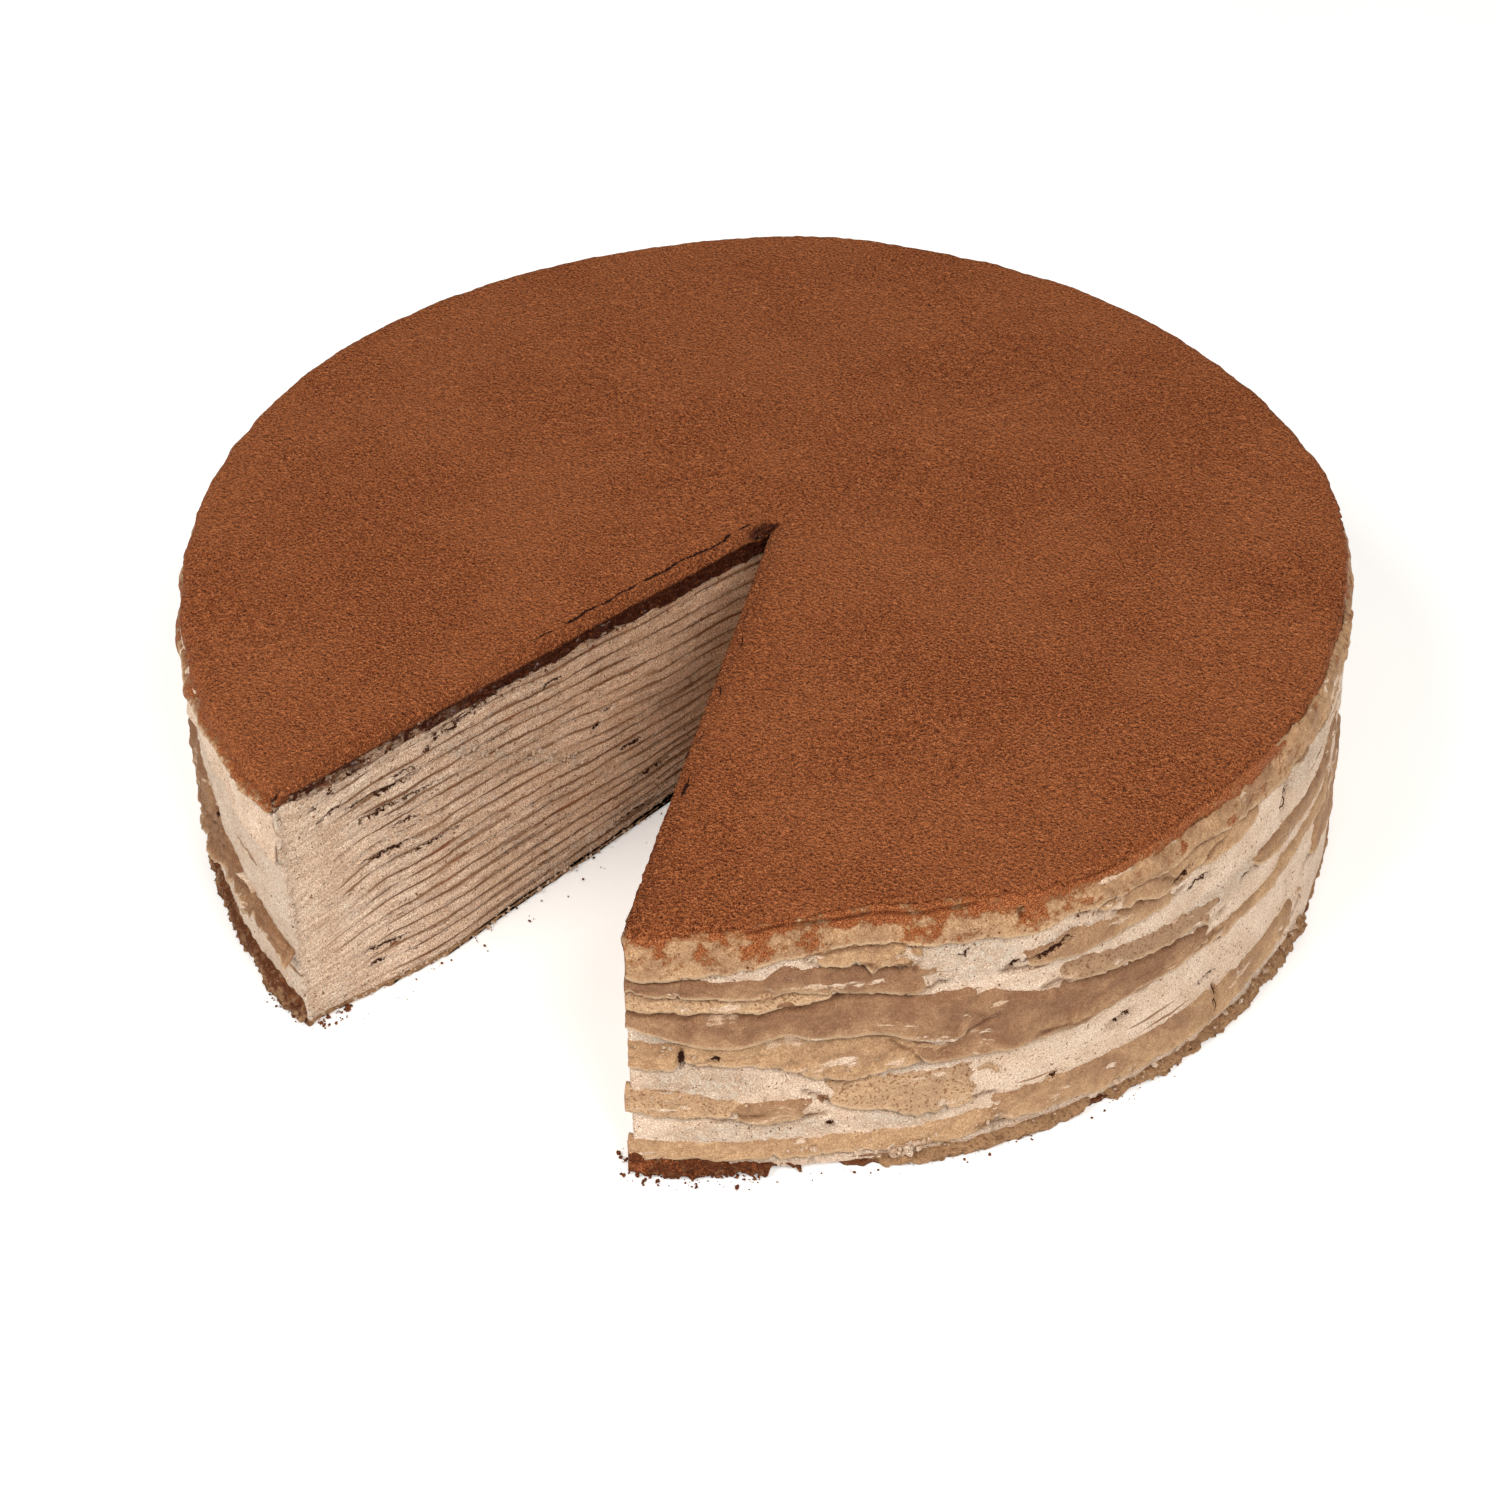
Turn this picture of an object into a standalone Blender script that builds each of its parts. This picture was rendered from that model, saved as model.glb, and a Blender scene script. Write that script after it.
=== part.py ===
"""Chocolate crepe cake, 230 mm across, with one slice taken out.

Nineteen thin crepes with cream between them, a dark moist chocolate crepe on top and a coat of
cocoa powder over that. Each crepe and each cream is a solid of its own and runs through the cake.
Units are metres, +Z is up. The cake stands on z = 0 and the missing slice opens towards -Y.
"""

import math

import bmesh
import bpy
from mathutils import Matrix, Vector

# Driving dimensions
CAKE_HEIGHT = 0.0593
RADIUS_AT_TOP = 0.1132
RADIUS_AT_BOTTOM = 0.1155
CREPE_COUNT = 19
CREPE_THICKNESS = 0.00095
CHOCOLATE_THICKNESS = 0.0024
COCOA_THICKNESS = 0.0009
GAP = 0.0003

# The missing slice: its point, and the angles of its two cuts where they meet the side
SLICE_POINT = Vector((0.0010, 0.0043))
RIGHT_CUT = math.radians(-71.0)
LEFT_CUT = math.radians(252.05)
LEFT_CUT_LEAN = 0.0056

# Sampling: upright sections from one cut round to the other, and one ring inside the rim
SECTIONS = 27
SECTION_STEP = (LEFT_CUT - RIGHT_CUT) / SECTIONS
SECTION_ANGLES = [RIGHT_CUT + SECTION_STEP * index for index in range(SECTIONS + 1)]
RING_REACH = 0.88
SHOULDER_REACH = 0.97
SHOULDER_INSET = 0.0028

# Unevenness of the layers and of the side
RIM_SAG = 0.0020
SAG_START = 0.70
TOP_WAVE = 0.0005
LAYER_RIPPLE = 0.00035
PITCH_VARIATION = 0.14
SIDE_LUMP = 0.0009
SIDE_DENT = 0.0045
DENT_ANGLE = math.radians(-52.0)
DENT_WIDTH = math.radians(7.5)

# The lowest crepe sticks out at the foot, most on the right
FOOT = 0.0009
FOOT_BULGE = 0.0016
FOOT_BULGE_ANGLE = math.radians(-12.0)
FOOT_BULGE_WIDTH = math.radians(16.0)

# Crepe rims that hang down over the side:
# crepe number, middle of the fold in degrees, half its width in degrees, how far it hangs
DRAPES = (
    (17, -58, 24, 0.0048),
    (17, 60, 34, 0.0050),
    (17, 247, 24, 0.0055),
    (15, -65, 18, 0.0021),
    (15, 118, 36, 0.0062),
    (14, -24, 19, 0.0042),
    (13, -65, 17, 0.0060),
    (13, 242, 27, 0.0120),
    (12, 178, 30, 0.0070),
    (11, -28, 20, 0.0064),
    (10, -66, 18, 0.0070),
    (9, 20, 26, 0.0080),
    (9, 92, 34, 0.0075),
    (7, -50, 18, 0.0064),
    (7, 158, 34, 0.0072),
    (5, -5, 25, 0.0075),
    (5, 70, 32, 0.0066),
    (5, 225, 28, 0.0058),
    (4, -62, 24, 0.0050),
)
LEAST_DRAPE = 0.0010
TOP_DRAPE = 0.0034
TOP_DRAPE_WAVE = 0.0012

# Base colour and roughness of each food
FINISHES = {
    "cocoa_powder": ((0.270, 0.082, 0.028), 0.95),
    "moist_chocolate": ((0.050, 0.015, 0.008), 0.45),
    "crepe": ((0.400, 0.200, 0.095), 0.60),
    "base_crepe": ((0.210, 0.075, 0.030), 0.70),
    "cream": ((0.620, 0.440, 0.310), 0.50),
}


def smooth_step(value):
    value = min(1.0, max(0.0, value))
    return value * value * (3.0 - 2.0 * value)


def bump(angle, middle, width):
    """1 at the middle angle, falling to 0 within about two widths on each side."""
    away = math.remainder(angle - middle, math.tau)
    return math.exp(-((away / width) ** 2))


def side_radius(angle, height):
    """Distance of the cake's side from its axis: straight up each section, lumpy round the cake."""
    share = height / CAKE_HEIGHT
    lump = SIDE_LUMP * (math.sin(3 * angle + 0.9) + 0.6 * math.sin(5 * angle + 2.4))
    dent = SIDE_DENT * bump(angle, DENT_ANGLE, DENT_WIDTH) * (0.5 + 0.5 * share)
    return RADIUS_AT_BOTTOM + (RADIUS_AT_TOP - RADIUS_AT_BOTTOM) * share + lump - dent


def settled(height, reach, angle):
    """Height of a level layer once its rim has sagged. Nothing moves at the very bottom."""
    share = height / CAKE_HEIGHT
    sag = RIM_SAG * smooth_step((reach - SAG_START) / (1.0 - SAG_START))
    wave = TOP_WAVE * reach * math.sin(2 * angle + 0.6)
    return height + share * (wave - sag)


def point_at(angle, reach, height, out=0.0):
    """Point on an upright section: reach is 0 at the slice's point and 1 at the side."""
    direction = Vector((math.cos(angle), math.sin(angle)))
    rim = direction * side_radius(angle, height)
    flat = SLICE_POINT.lerp(rim, reach) + direction * out
    if angle == SECTION_ANGLES[-1]:
        # The left cut leans into the cake, most at the foot of the rim.
        lean = LEFT_CUT_LEAN * reach * (1.0 - height / CAKE_HEIGHT)
        flat += Vector((direction.y, -direction.x)) * lean
    return Vector((flat.x, flat.y, height))


def find_crepe_middles():
    """Heights of the crepes' middle planes, and of the chocolate crepe's foot."""
    chocolate_foot = CAKE_HEIGHT - COCOA_THICKNESS - GAP - CHOCOLATE_THICKNESS - GAP
    shares = [1.0 + PITCH_VARIATION * math.sin(2.3 * number) for number in range(CREPE_COUNT)]
    middles = [CREPE_THICKNESS / 2]
    room = chocolate_foot - middles[0]
    for share in shares:
        middles.append(middles[-1] + room * share / sum(shares))
    return middles


CREPE_MIDDLES = find_crepe_middles()


def crepe_surface(number, offset):
    """A surface at this offset from a crepe's middle. Each crepe but the first has its own ripple."""

    def surface(reach, angle):
        ripple = 0.0
        if 1 < number <= CREPE_COUNT:
            ripple = LAYER_RIPPLE * reach * math.sin(2 * angle + 1.7 * number)
        return settled(CREPE_MIDDLES[number - 1] + offset, reach, angle) + ripple

    return surface


def level_surface(level):
    return lambda reach, angle: settled(level, reach, angle)


def drape_length(number, angle):
    """How far a crepe's rim hangs down at this angle, or 0 where it ends flush with the side."""
    length = 0.0
    for crepe, middle, half_width, hang in DRAPES:
        if crepe == number:
            away = math.remainder(angle - math.radians(middle), math.tau) / math.radians(half_width)
            length = max(length, hang * (1.0 - away * away))
    return length if length >= LEAST_DRAPE else 0.0


def plain_profile(angle, top, bottom, out=0.0):
    """Section of a layer that ends at the side, from its upper ring out and back below."""
    return [
        point_at(angle, RING_REACH, top(RING_REACH, angle)),
        point_at(angle, 1.0, top(1.0, angle), out),
        point_at(angle, 1.0, bottom(1.0, angle), out),
        point_at(angle, RING_REACH, bottom(RING_REACH, angle)),
    ]


def draped_profile(angle, top, bottom, hang):
    """Section of a crepe whose rim turns down outside the layers under it."""
    upper = top(1.0, angle)
    lower = bottom(1.0, angle)
    third = (upper - lower) / 3
    inner = outer = 0.0
    inner_foot = lower + third
    outer_foot = upper - third
    if hang > 0.0:
        inner = GAP
        outer = GAP + CREPE_THICKNESS
        inner_foot = outer_foot = lower - hang
    return [
        point_at(angle, RING_REACH, top(RING_REACH, angle)),
        point_at(angle, 1.0, upper, outer),
        point_at(angle, 1.0, outer_foot, outer),
        point_at(angle, 1.0, inner_foot, inner),
        point_at(angle, 1.0, lower, inner),
        point_at(angle, RING_REACH, bottom(RING_REACH, angle)),
    ]


def make_loft(name, profiles, tip_top, tip_bottom, finish):
    """Joins the upright sections into one closed solid that comes to an edge at the slice's point."""
    mesh = bmesh.new()
    top = mesh.verts.new((*SLICE_POINT, tip_top))
    bottom = mesh.verts.new((*SLICE_POINT, tip_bottom))
    rows = [[mesh.verts.new(point) for point in profile] for profile in profiles]
    for row, following in zip(rows, rows[1:]):
        mesh.faces.new((top, row[0], following[0]))
        mesh.faces.new((bottom, following[-1], row[-1]))
        for index in range(len(row) - 1):
            mesh.faces.new((row[index], row[index + 1], following[index + 1], following[index]))
    for row in (rows[0], rows[-1]):
        mesh.faces.new((top, row[0], row[-1], bottom))
        for index in range(len(row) // 2 - 1):
            mesh.faces.new((row[index], row[index + 1], row[-2 - index], row[-1 - index]))
    bmesh.ops.recalc_face_normals(mesh, faces=mesh.faces)
    data = bpy.data.meshes.new(name)
    mesh.to_mesh(data)
    mesh.free()
    data.shade_smooth()
    data.set_sharp_from_angle(angle=math.radians(35))
    data.materials.append(finish)
    return bpy.data.objects.new(name, data)


def make_layer(name, top, bottom, finish, profile=plain_profile):
    """A layer between two surfaces. Each surface gives a height from a reach and an angle."""
    profiles = [profile(angle, top, bottom) for angle in SECTION_ANGLES]
    return make_loft(name, profiles, top(0.0, 0.0), bottom(0.0, 0.0), finish)


def make_crepe(number, finish):
    def profile(angle, top, bottom):
        return draped_profile(angle, top, bottom, drape_length(number, angle))

    top = crepe_surface(number, CREPE_THICKNESS / 2)
    bottom = crepe_surface(number, -CREPE_THICKNESS / 2)
    draped = any(crepe == number for crepe, *_ in DRAPES)
    return make_layer(f"crepe_{number:02d}", top, bottom, finish, profile if draped else plain_profile)


def make_base_crepe(finish):
    """The lowest crepe, browner than the rest, whose rim sticks out from under the cake."""

    def profile(angle, top, bottom):
        ripple = 0.5 + 0.5 * math.sin(7 * angle)
        bulge = FOOT_BULGE * bump(angle, FOOT_BULGE_ANGLE, FOOT_BULGE_WIDTH)
        return plain_profile(angle, top, bottom, FOOT * ripple + bulge)

    return make_layer("crepe_01", lambda *_: CREPE_THICKNESS, lambda *_: 0.0, finish, profile)


def make_cream(number, finish):
    """The cream that lies on a crepe, up to the next crepe or to the chocolate crepe."""
    clear = CREPE_THICKNESS / 2 + GAP
    bottom = crepe_surface(number, clear)
    if number == CREPE_COUNT:
        top = level_surface(CREPE_MIDDLES[number])
    else:
        top = crepe_surface(number + 1, -clear)
    return make_layer(f"cream_{number:02d}", top, bottom, finish)


def make_chocolate_crepe(finish):
    """The dark top crepe: a rounded shoulder, and a rim that hangs down all round."""

    def profile(angle, top, bottom):
        outside = GAP + CREPE_THICKNESS
        rim = bottom(1.0, angle)
        hem = rim - TOP_DRAPE - TOP_DRAPE_WAVE * math.sin(4 * angle + 1.0)
        return [
            point_at(angle, RING_REACH, top(RING_REACH, angle)),
            point_at(angle, 1.0, top(SHOULDER_REACH, angle), -SHOULDER_INSET),
            point_at(angle, 1.0, rim + GAP, outside),
            point_at(angle, 1.0, hem, outside),
            point_at(angle, 1.0, hem, GAP),
            point_at(angle, 1.0, rim, GAP),
            point_at(angle, 1.0, bottom(SHOULDER_REACH, angle), -SHOULDER_INSET),
            point_at(angle, RING_REACH, bottom(RING_REACH, angle)),
        ]

    foot = CREPE_MIDDLES[-1] + GAP
    top = level_surface(foot + CHOCOLATE_THICKNESS)
    return make_layer("chocolate_crepe", top, level_surface(foot), finish, profile)


def make_cocoa(finish):
    """The coat of cocoa powder, which rolls over the shoulder to the rim."""

    def profile(angle, top, bottom):
        outside = GAP + CREPE_THICKNESS
        edge = bottom(1.0, angle) - CHOCOLATE_THICKNESS + GAP
        return [
            point_at(angle, RING_REACH, top(RING_REACH, angle)),
            point_at(angle, 1.0, top(SHOULDER_REACH, angle), -SHOULDER_INSET),
            point_at(angle, 1.0, edge + COCOA_THICKNESS, outside),
            point_at(angle, 1.0, edge, outside),
            point_at(angle, 1.0, bottom(SHOULDER_REACH, angle), -SHOULDER_INSET),
            point_at(angle, RING_REACH, bottom(RING_REACH, angle)),
        ]

    bottom = level_surface(CAKE_HEIGHT - COCOA_THICKNESS)
    return make_layer("cocoa_top", level_surface(CAKE_HEIGHT), bottom, finish, profile)


def make_finishes():
    made = {}
    for name, (colour, roughness) in FINISHES.items():
        material = bpy.data.materials.new(name)
        material.use_nodes = True
        shader = material.node_tree.nodes["Principled BSDF"]
        shader.inputs["Base Color"].default_value = (*colour, 1.0)
        shader.inputs["Roughness"].default_value = roughness
        shader.inputs["Metallic"].default_value = 0.0
        made[name] = material
    return made


def centre_on_origin(objects):
    """Moves the cake so that the origin is under the middle of its box."""
    points = [vertex.co for item in objects for vertex in item.data.vertices]
    middle_x = (min(point.x for point in points) + max(point.x for point in points)) / 2
    middle_y = (min(point.y for point in points) + max(point.y for point in points)) / 2
    for item in objects:
        item.data.transform(Matrix.Translation((-middle_x, -middle_y, 0.0)))
    print(f"cake axis at x {-1000 * middle_x:.2f} mm, y {-1000 * middle_y:.2f} mm")


def main():
    for item in list(bpy.data.objects):
        bpy.data.objects.remove(item, do_unlink=True)
    finishes = make_finishes()
    layers = [make_base_crepe(finishes["base_crepe"])]
    layers += [make_crepe(number, finishes["crepe"]) for number in range(2, CREPE_COUNT + 1)]
    layers += [make_cream(number, finishes["cream"]) for number in range(1, CREPE_COUNT + 1)]
    layers.append(make_chocolate_crepe(finishes["moist_chocolate"]))
    layers.append(make_cocoa(finishes["cocoa_powder"]))
    cake = bpy.data.collections.new("crepe_cake")
    bpy.context.scene.collection.children.link(cake)
    for layer in layers:
        cake.objects.link(layer)
    centre_on_origin(layers)


main()
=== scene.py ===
# %% [markdown]
# # A chocolate crepe cake
# The cake is nineteen thin crepes with cream between them, a dark moist crepe on top and a thick
# coat of cocoa powder. One slice is gone, so every layer shows on two cut faces.

# %% Load the plain layers
import math

import bpy
import numpy as np
from mathutils import Matrix, Vector
from mathutils.geometry import delaunay_2d_cdt


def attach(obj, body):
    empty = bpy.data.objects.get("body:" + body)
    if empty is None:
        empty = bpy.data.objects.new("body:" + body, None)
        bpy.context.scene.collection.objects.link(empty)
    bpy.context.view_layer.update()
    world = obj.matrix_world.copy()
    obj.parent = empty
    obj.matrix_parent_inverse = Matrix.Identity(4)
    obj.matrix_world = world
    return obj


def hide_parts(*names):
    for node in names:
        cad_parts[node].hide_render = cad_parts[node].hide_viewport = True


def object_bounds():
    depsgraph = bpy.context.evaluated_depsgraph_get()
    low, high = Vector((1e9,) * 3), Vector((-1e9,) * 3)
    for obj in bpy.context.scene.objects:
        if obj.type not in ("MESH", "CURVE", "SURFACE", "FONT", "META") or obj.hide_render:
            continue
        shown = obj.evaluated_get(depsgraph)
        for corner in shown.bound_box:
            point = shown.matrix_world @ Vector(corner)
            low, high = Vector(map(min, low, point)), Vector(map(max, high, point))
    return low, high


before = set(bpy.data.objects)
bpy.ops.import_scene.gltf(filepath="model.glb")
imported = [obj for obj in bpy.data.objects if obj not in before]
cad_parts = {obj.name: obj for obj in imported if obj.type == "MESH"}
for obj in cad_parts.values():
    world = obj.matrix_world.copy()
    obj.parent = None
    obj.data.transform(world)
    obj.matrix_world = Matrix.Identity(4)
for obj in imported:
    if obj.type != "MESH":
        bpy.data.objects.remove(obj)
cad_low, cad_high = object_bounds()

print("layers:", len(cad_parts), "box:", [round(v, 4) for v in (*cad_low, *cad_high)])

# %% [markdown]
# ## Working in millimetres
# Food is easier to think about in millimetres, so the sums below use them and every mesh is
# scaled once, when it is made. The round's axis isn't quite in the middle of the box, because the
# rim is uneven. The missing slice has its point a little behind that axis.

# %% Sizes of the round
MM = 0.001
AXIS = np.array([-1.34, -2.39])
TIP = np.array([1.0, 4.3])
HEIGHT = cad_high.z / MM
RIGHT_CUT = math.radians(-71.0)
LEFT_CUT = math.radians(252.05)
CREPES = 19
CHOCOLATE = 2.4
ROUND = 115.0
print("height", round(HEIGHT, 1), "mm")

# %% [markdown]
# ## Camera, light and floor
# The cake is seen from the front right and from above with a long lens, so its far rim is hardly
# smaller than its near one. Soft light comes from a big lamp above the viewer's left shoulder, and
# a pale room fills the shadows. A wide plain sheet stands in for the table.

# %% Camera
CAMERA_AT = Vector((0.2356, -0.3906, 0.3944))
CAMERA_AIM = Vector((0.01326, -0.0316, 0.030))
CAMERA_ROLL = math.radians(-1.43)
lens = bpy.data.cameras.new("camera")
lens.lens = 68.8
lens.clip_end = 10.0
camera = bpy.data.objects.new("camera", lens)
look = (CAMERA_AIM - CAMERA_AT).to_track_quat("-Z", "Y").to_matrix().to_4x4()
camera.matrix_world = Matrix.Translation(CAMERA_AT) @ look @ Matrix.Rotation(CAMERA_ROLL, 4, "Z")
bpy.context.scene.collection.objects.link(camera)
bpy.context.scene.camera = camera
bpy.context.scene.view_settings.view_transform = "Standard"

# %% Light


def add_lamp(name, place, aim, size, power, colour):
    light = bpy.data.lights.new(name, "AREA")
    light.shape = "DISK"
    light.size = size
    light.energy = power
    light.color = colour
    lamp = bpy.data.objects.new(name, light)
    lamp.location = place
    lamp.rotation_euler = (Vector(aim) - Vector(place)).to_track_quat("-Z", "Y").to_euler()
    bpy.context.scene.collection.objects.link(lamp)


add_lamp("big_lamp", (-0.25, -0.75, 0.95), (0.0, 0.0, 0.03), 0.50, 7.7, (1.0, 0.97, 0.93))
add_lamp("side_lamp", (0.66, -0.40, 0.85), (0.0, 0.0, 0.03), 0.5, 6.6, (1.0, 0.97, 0.93))
world = bpy.data.worlds.new("pale_room")
world.use_nodes = True
world.node_tree.nodes["Background"].inputs["Color"].default_value = (1.0, 0.99, 0.97, 1.0)
world.node_tree.nodes["Background"].inputs["Strength"].default_value = 0.40
bpy.context.scene.world = world

# %% [markdown]
# ## Smooth random hills
# Nothing on a cake is straight, so nearly every line below is bent by the same simple tool: a
# random slope at each corner of a grid, blended smoothly in between. It is worked out from whole
# numbers, so it gives the same cake each time.

# %% Random hills


def smooth(value):
    value = np.clip(value, 0.0, 1.0)
    return value * value * (3.0 - 2.0 * value)


def shuffle(i, j, seed):
    """A fixed random number from 0 to 1 for each pair of whole numbers."""
    mixed = i.astype(np.int64) * 374761393 + j.astype(np.int64) * 668265263 + seed * 974711
    mixed = (mixed ^ (mixed >> 13)) & 0xFFFFFFFF
    mixed = (mixed * 1274126177) & 0xFFFFFFFF
    mixed = ((mixed ^ (mixed >> 16)) * 2246822519) & 0xFFFFFFFF
    return (mixed ^ (mixed >> 15)) / 0xFFFFFFFF


def hills(u, v, seed, octaves=1):
    """Smooth random ups and downs about one unit wide, mostly between -1 and 1."""
    total = 0.0
    for octave in range(octaves):
        x = (u * 0.86 + v * 0.51) * 2.03**octave + 17.3 * octave + 0.5 * (octave > 0)
        y = (v * 0.86 - u * 0.51) * 2.03**octave + 9.1 * octave
        if octave == 0:
            x, y = u + 0.0, v + 0.0
        i, j = np.floor(x), np.floor(y)
        fx, fy = x - i, y - j
        sx, sy = smooth(fx), smooth(fy)
        for di in (0, 1):
            for dj in (0, 1):
                angle = shuffle(i + di, j + dj, seed + 31 * octave) * math.tau
                slope = np.cos(angle) * (fx - di) + np.sin(angle) * (fy - dj)
                weight = (sx if di else 1.0 - sx) * (sy if dj else 1.0 - sy)
                total = total + 1.7 * 0.52**octave * slope * weight
    return total


def pits(u, v, seed, share, size):
    """Round hollows, at most one to each unit square: 1 at the bottom of a hollow, 0 outside."""
    depth = np.zeros(np.broadcast(u, v).shape)
    for di in (-1, 0, 1):
        for dj in (-1, 0, 1):
            i, j = np.floor(u) + di, np.floor(v) + dj
            du = u - i - shuffle(i, j, seed)
            dv = v - j - shuffle(i, j, seed + 1)
            radius = size * (0.35 + 0.65 * shuffle(i, j, seed + 2))
            here = shuffle(i, j, seed + 3) < share
            depth = np.maximum(depth, here * np.clip(1.0 - (du * du + dv * dv) / radius**2, 0, 1))
    return depth


def blob(s, z, at_s, at_z, half_s, half_z, tilt=0.0):
    """A soft oval patch: 1 inside, 0 outside."""
    away = ((s - at_s) / half_s) ** 2 + ((z - at_z - tilt * (s - at_s)) / half_z) ** 2
    return smooth(1.35 - away)


def line_through(points, at):
    """A soft curve through a few (place, value) points, read at these places."""
    places, values = zip(*points)
    fine = np.linspace(places[0], places[-1], 400)
    width = max(1, round(400 * 0.018))
    padded = np.pad(np.interp(fine, places, values), width, mode="edge")
    soft = np.convolve(padded, np.full(2 * width + 1, 1 / (2 * width + 1)), "valid")
    return np.interp(at, fine, soft)


# %% [markdown]
# ## The uneven rim
# The round leans out a little towards its foot, and its side swells and dips as the crepes were
# never trimmed. The list gives the angle, then the radius at the foot and at the shoulder.

# %% Rim
RIM = (
    (-71, 115.7, 114.2), (-65, 115.3, 112.6), (-57, 113.3, 110.8), (-52, 113.4, 108.4),
    (-46, 114.3, 109.8), (-38, 115.2, 113.0), (-28, 115.3, 114.4), (-15, 116.9, 113.2),
    (0, 117.0, 114.4), (12, 116.6, 114.2), (24, 116.7, 114.8), (31, 116.4, 115.8),
    (38, 116.2, 116.3), (46, 116.0, 115.4), (62, 115.2, 114.2), (74, 114.8, 114.6),
    (88, 114.0, 114.3), (101, 114.0, 114.2), (114, 114.8, 116.0), (126, 114.0, 114.0),
    (139, 113.8, 113.3), (157, 113.8, 114.0), (178, 114.3, 115.0), (200, 114.3, 114.0),
    (214, 114.4, 113.5), (232, 114.6, 114.0), (246, 115.2, 115.0), (252.05, 115.6, 115.6),
)
RIM_FOOT = [(math.radians(angle), foot) for angle, foot, _ in RIM]
RIM_TOP = [(math.radians(angle), top) for angle, _, top in RIM]
SIDE_TOP = 55.0


def rim_top(theta):
    """Radius of the upper rim, with its small lumps."""
    return line_through(RIM_TOP, theta) + 0.45 * hills(theta * 12, theta * 0, 33, 2) - 0.15


def rim_radius(theta, z):
    share = np.clip(z / SIDE_TOP, 0.0, 1.1)
    foot, top = line_through(RIM_FOOT, theta), rim_top(theta)
    return foot + (top + 0.2 - foot) * share


# %% [markdown]
# ## One wall, cut into layers
# The two cut faces and the side are one long wall: from the slice's point out along the right
# cut, round the side, and back along the left cut. A place on it is a distance s along the wall
# and a height z. Every layer is a strip of this wall, so neighbours fit without a gap.

# %% Columns of the wall


def steps(length, step):
    """Even fractions from 0 up to, but not counting, 1."""
    return np.linspace(0.0, 1.0, max(2, round(length / step)), endpoint=False)


def direction(theta):
    return np.stack([np.cos(theta), np.sin(theta)], axis=-1)


def cut_length(theta):
    edge = direction(np.array(theta)) * rim_radius(np.array(theta), 30.0)
    return float(np.hypot(*(edge - TIP)))


RIGHT_LENGTH, LEFT_LENGTH = cut_length(RIGHT_CUT), cut_length(LEFT_CUT)
RIGHT_CORNER = RIGHT_LENGTH
LEFT_CORNER = RIGHT_CORNER + ROUND * (LEFT_CUT - RIGHT_CUT)
WALL_LENGTH = LEFT_CORNER + LEFT_LENGTH
BACK_START, BACK_END = math.radians(26.0), math.radians(218.0)


def s_at(degrees):
    """Distance along the wall of this angle on the side."""
    return RIGHT_CORNER + ROUND * (np.radians(degrees) - RIGHT_CUT)


def make_columns():
    arcs = [(RIGHT_CUT, BACK_START, 0.6), (BACK_START, BACK_END, 1.0), (BACK_END, LEFT_CUT, 0.6)]
    thetas = [a + (b - a) * steps(ROUND * (b - a), step) for a, b, step in arcs]
    around = np.concatenate(thetas)
    right = steps(RIGHT_LENGTH, 0.6)
    left = 1.0 - steps(LEFT_LENGTH, 0.45)
    reach = np.concatenate([right, np.ones(len(around)), left])
    theta = np.concatenate([np.full(len(right), RIGHT_CUT), around, np.full(len(left), LEFT_CUT)])
    s = np.concatenate([
        right * RIGHT_LENGTH,
        RIGHT_CORNER + ROUND * (around - RIGHT_CUT),
        LEFT_CORNER + (1.0 - left) * LEFT_LENGTH,
    ])
    return reach, theta, s


REACH, THETA, S = make_columns()
CORNER_BLEND = 1.3


def cut_share(s):
    """1 on a cut face, 0 on the side, and half at the two upright corners."""
    right = smooth(0.5 + (RIGHT_CORNER - s) / (2 * CORNER_BLEND))
    left = smooth(0.5 + (s - LEFT_CORNER) / (2 * CORNER_BLEND))
    return np.maximum(right, left)


def from_rim(s):
    """Distance of a place on a cut from its outer corner."""
    return np.clip(np.maximum(RIGHT_CORNER - s, s - LEFT_CORNER), 0.0, None)


def outward(s, theta):
    """Which way the wall faces, seen from above."""
    right_line = direction(np.array(RIGHT_CUT)) * ROUND - TIP
    left_line = direction(np.array(LEFT_CUT)) * ROUND - TIP
    right = np.array([right_line[1], -right_line[0]]) / np.hypot(*right_line)
    left = np.array([-left_line[1], left_line[0]]) / np.hypot(*left_line)
    on_right = smooth(0.5 + (RIGHT_CORNER - s) / (2 * CORNER_BLEND))[..., None]
    on_left = smooth(0.5 + (s - LEFT_CORNER) / (2 * CORNER_BLEND))[..., None]
    facing = direction(theta) * (1 - on_right - on_left) + right * on_right + left * on_left
    return facing / np.linalg.norm(facing, axis=-1, keepdims=True)


def lean(s, z):
    """How far the left cut swells into the gap (or falls back) towards its foot."""
    d = np.clip(s - LEFT_CORNER, 0.0, None)
    bulge = 2.5 * np.exp(-(((d - 30) / 17) ** 2)) - 5.8 * (np.clip(d - 62, 0, None) / 53) ** 1.3
    toward_rim = smooth(d / 12)
    return bulge * toward_rim * (1.0 - z / HEIGHT) * smooth((WALL_LENGTH - s) / 12)


def wall_point(s, theta, reach, z, out):
    """Points on the wall, pushed out by this much. All arguments have the shape of the answer."""
    edge = direction(theta) * rim_radius(theta, z)[..., None]
    flat = TIP + (edge - TIP) * reach[..., None]
    near_tip = smooth(np.minimum(s, WALL_LENGTH - s) / 3.0)
    flat = flat + outward(s, theta) * ((out + lean(s, z)) * near_tip)[..., None]
    return np.concatenate([flat, z[..., None]], axis=-1)


print("wall", round(WALL_LENGTH), "mm long in", len(S), "columns")

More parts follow.
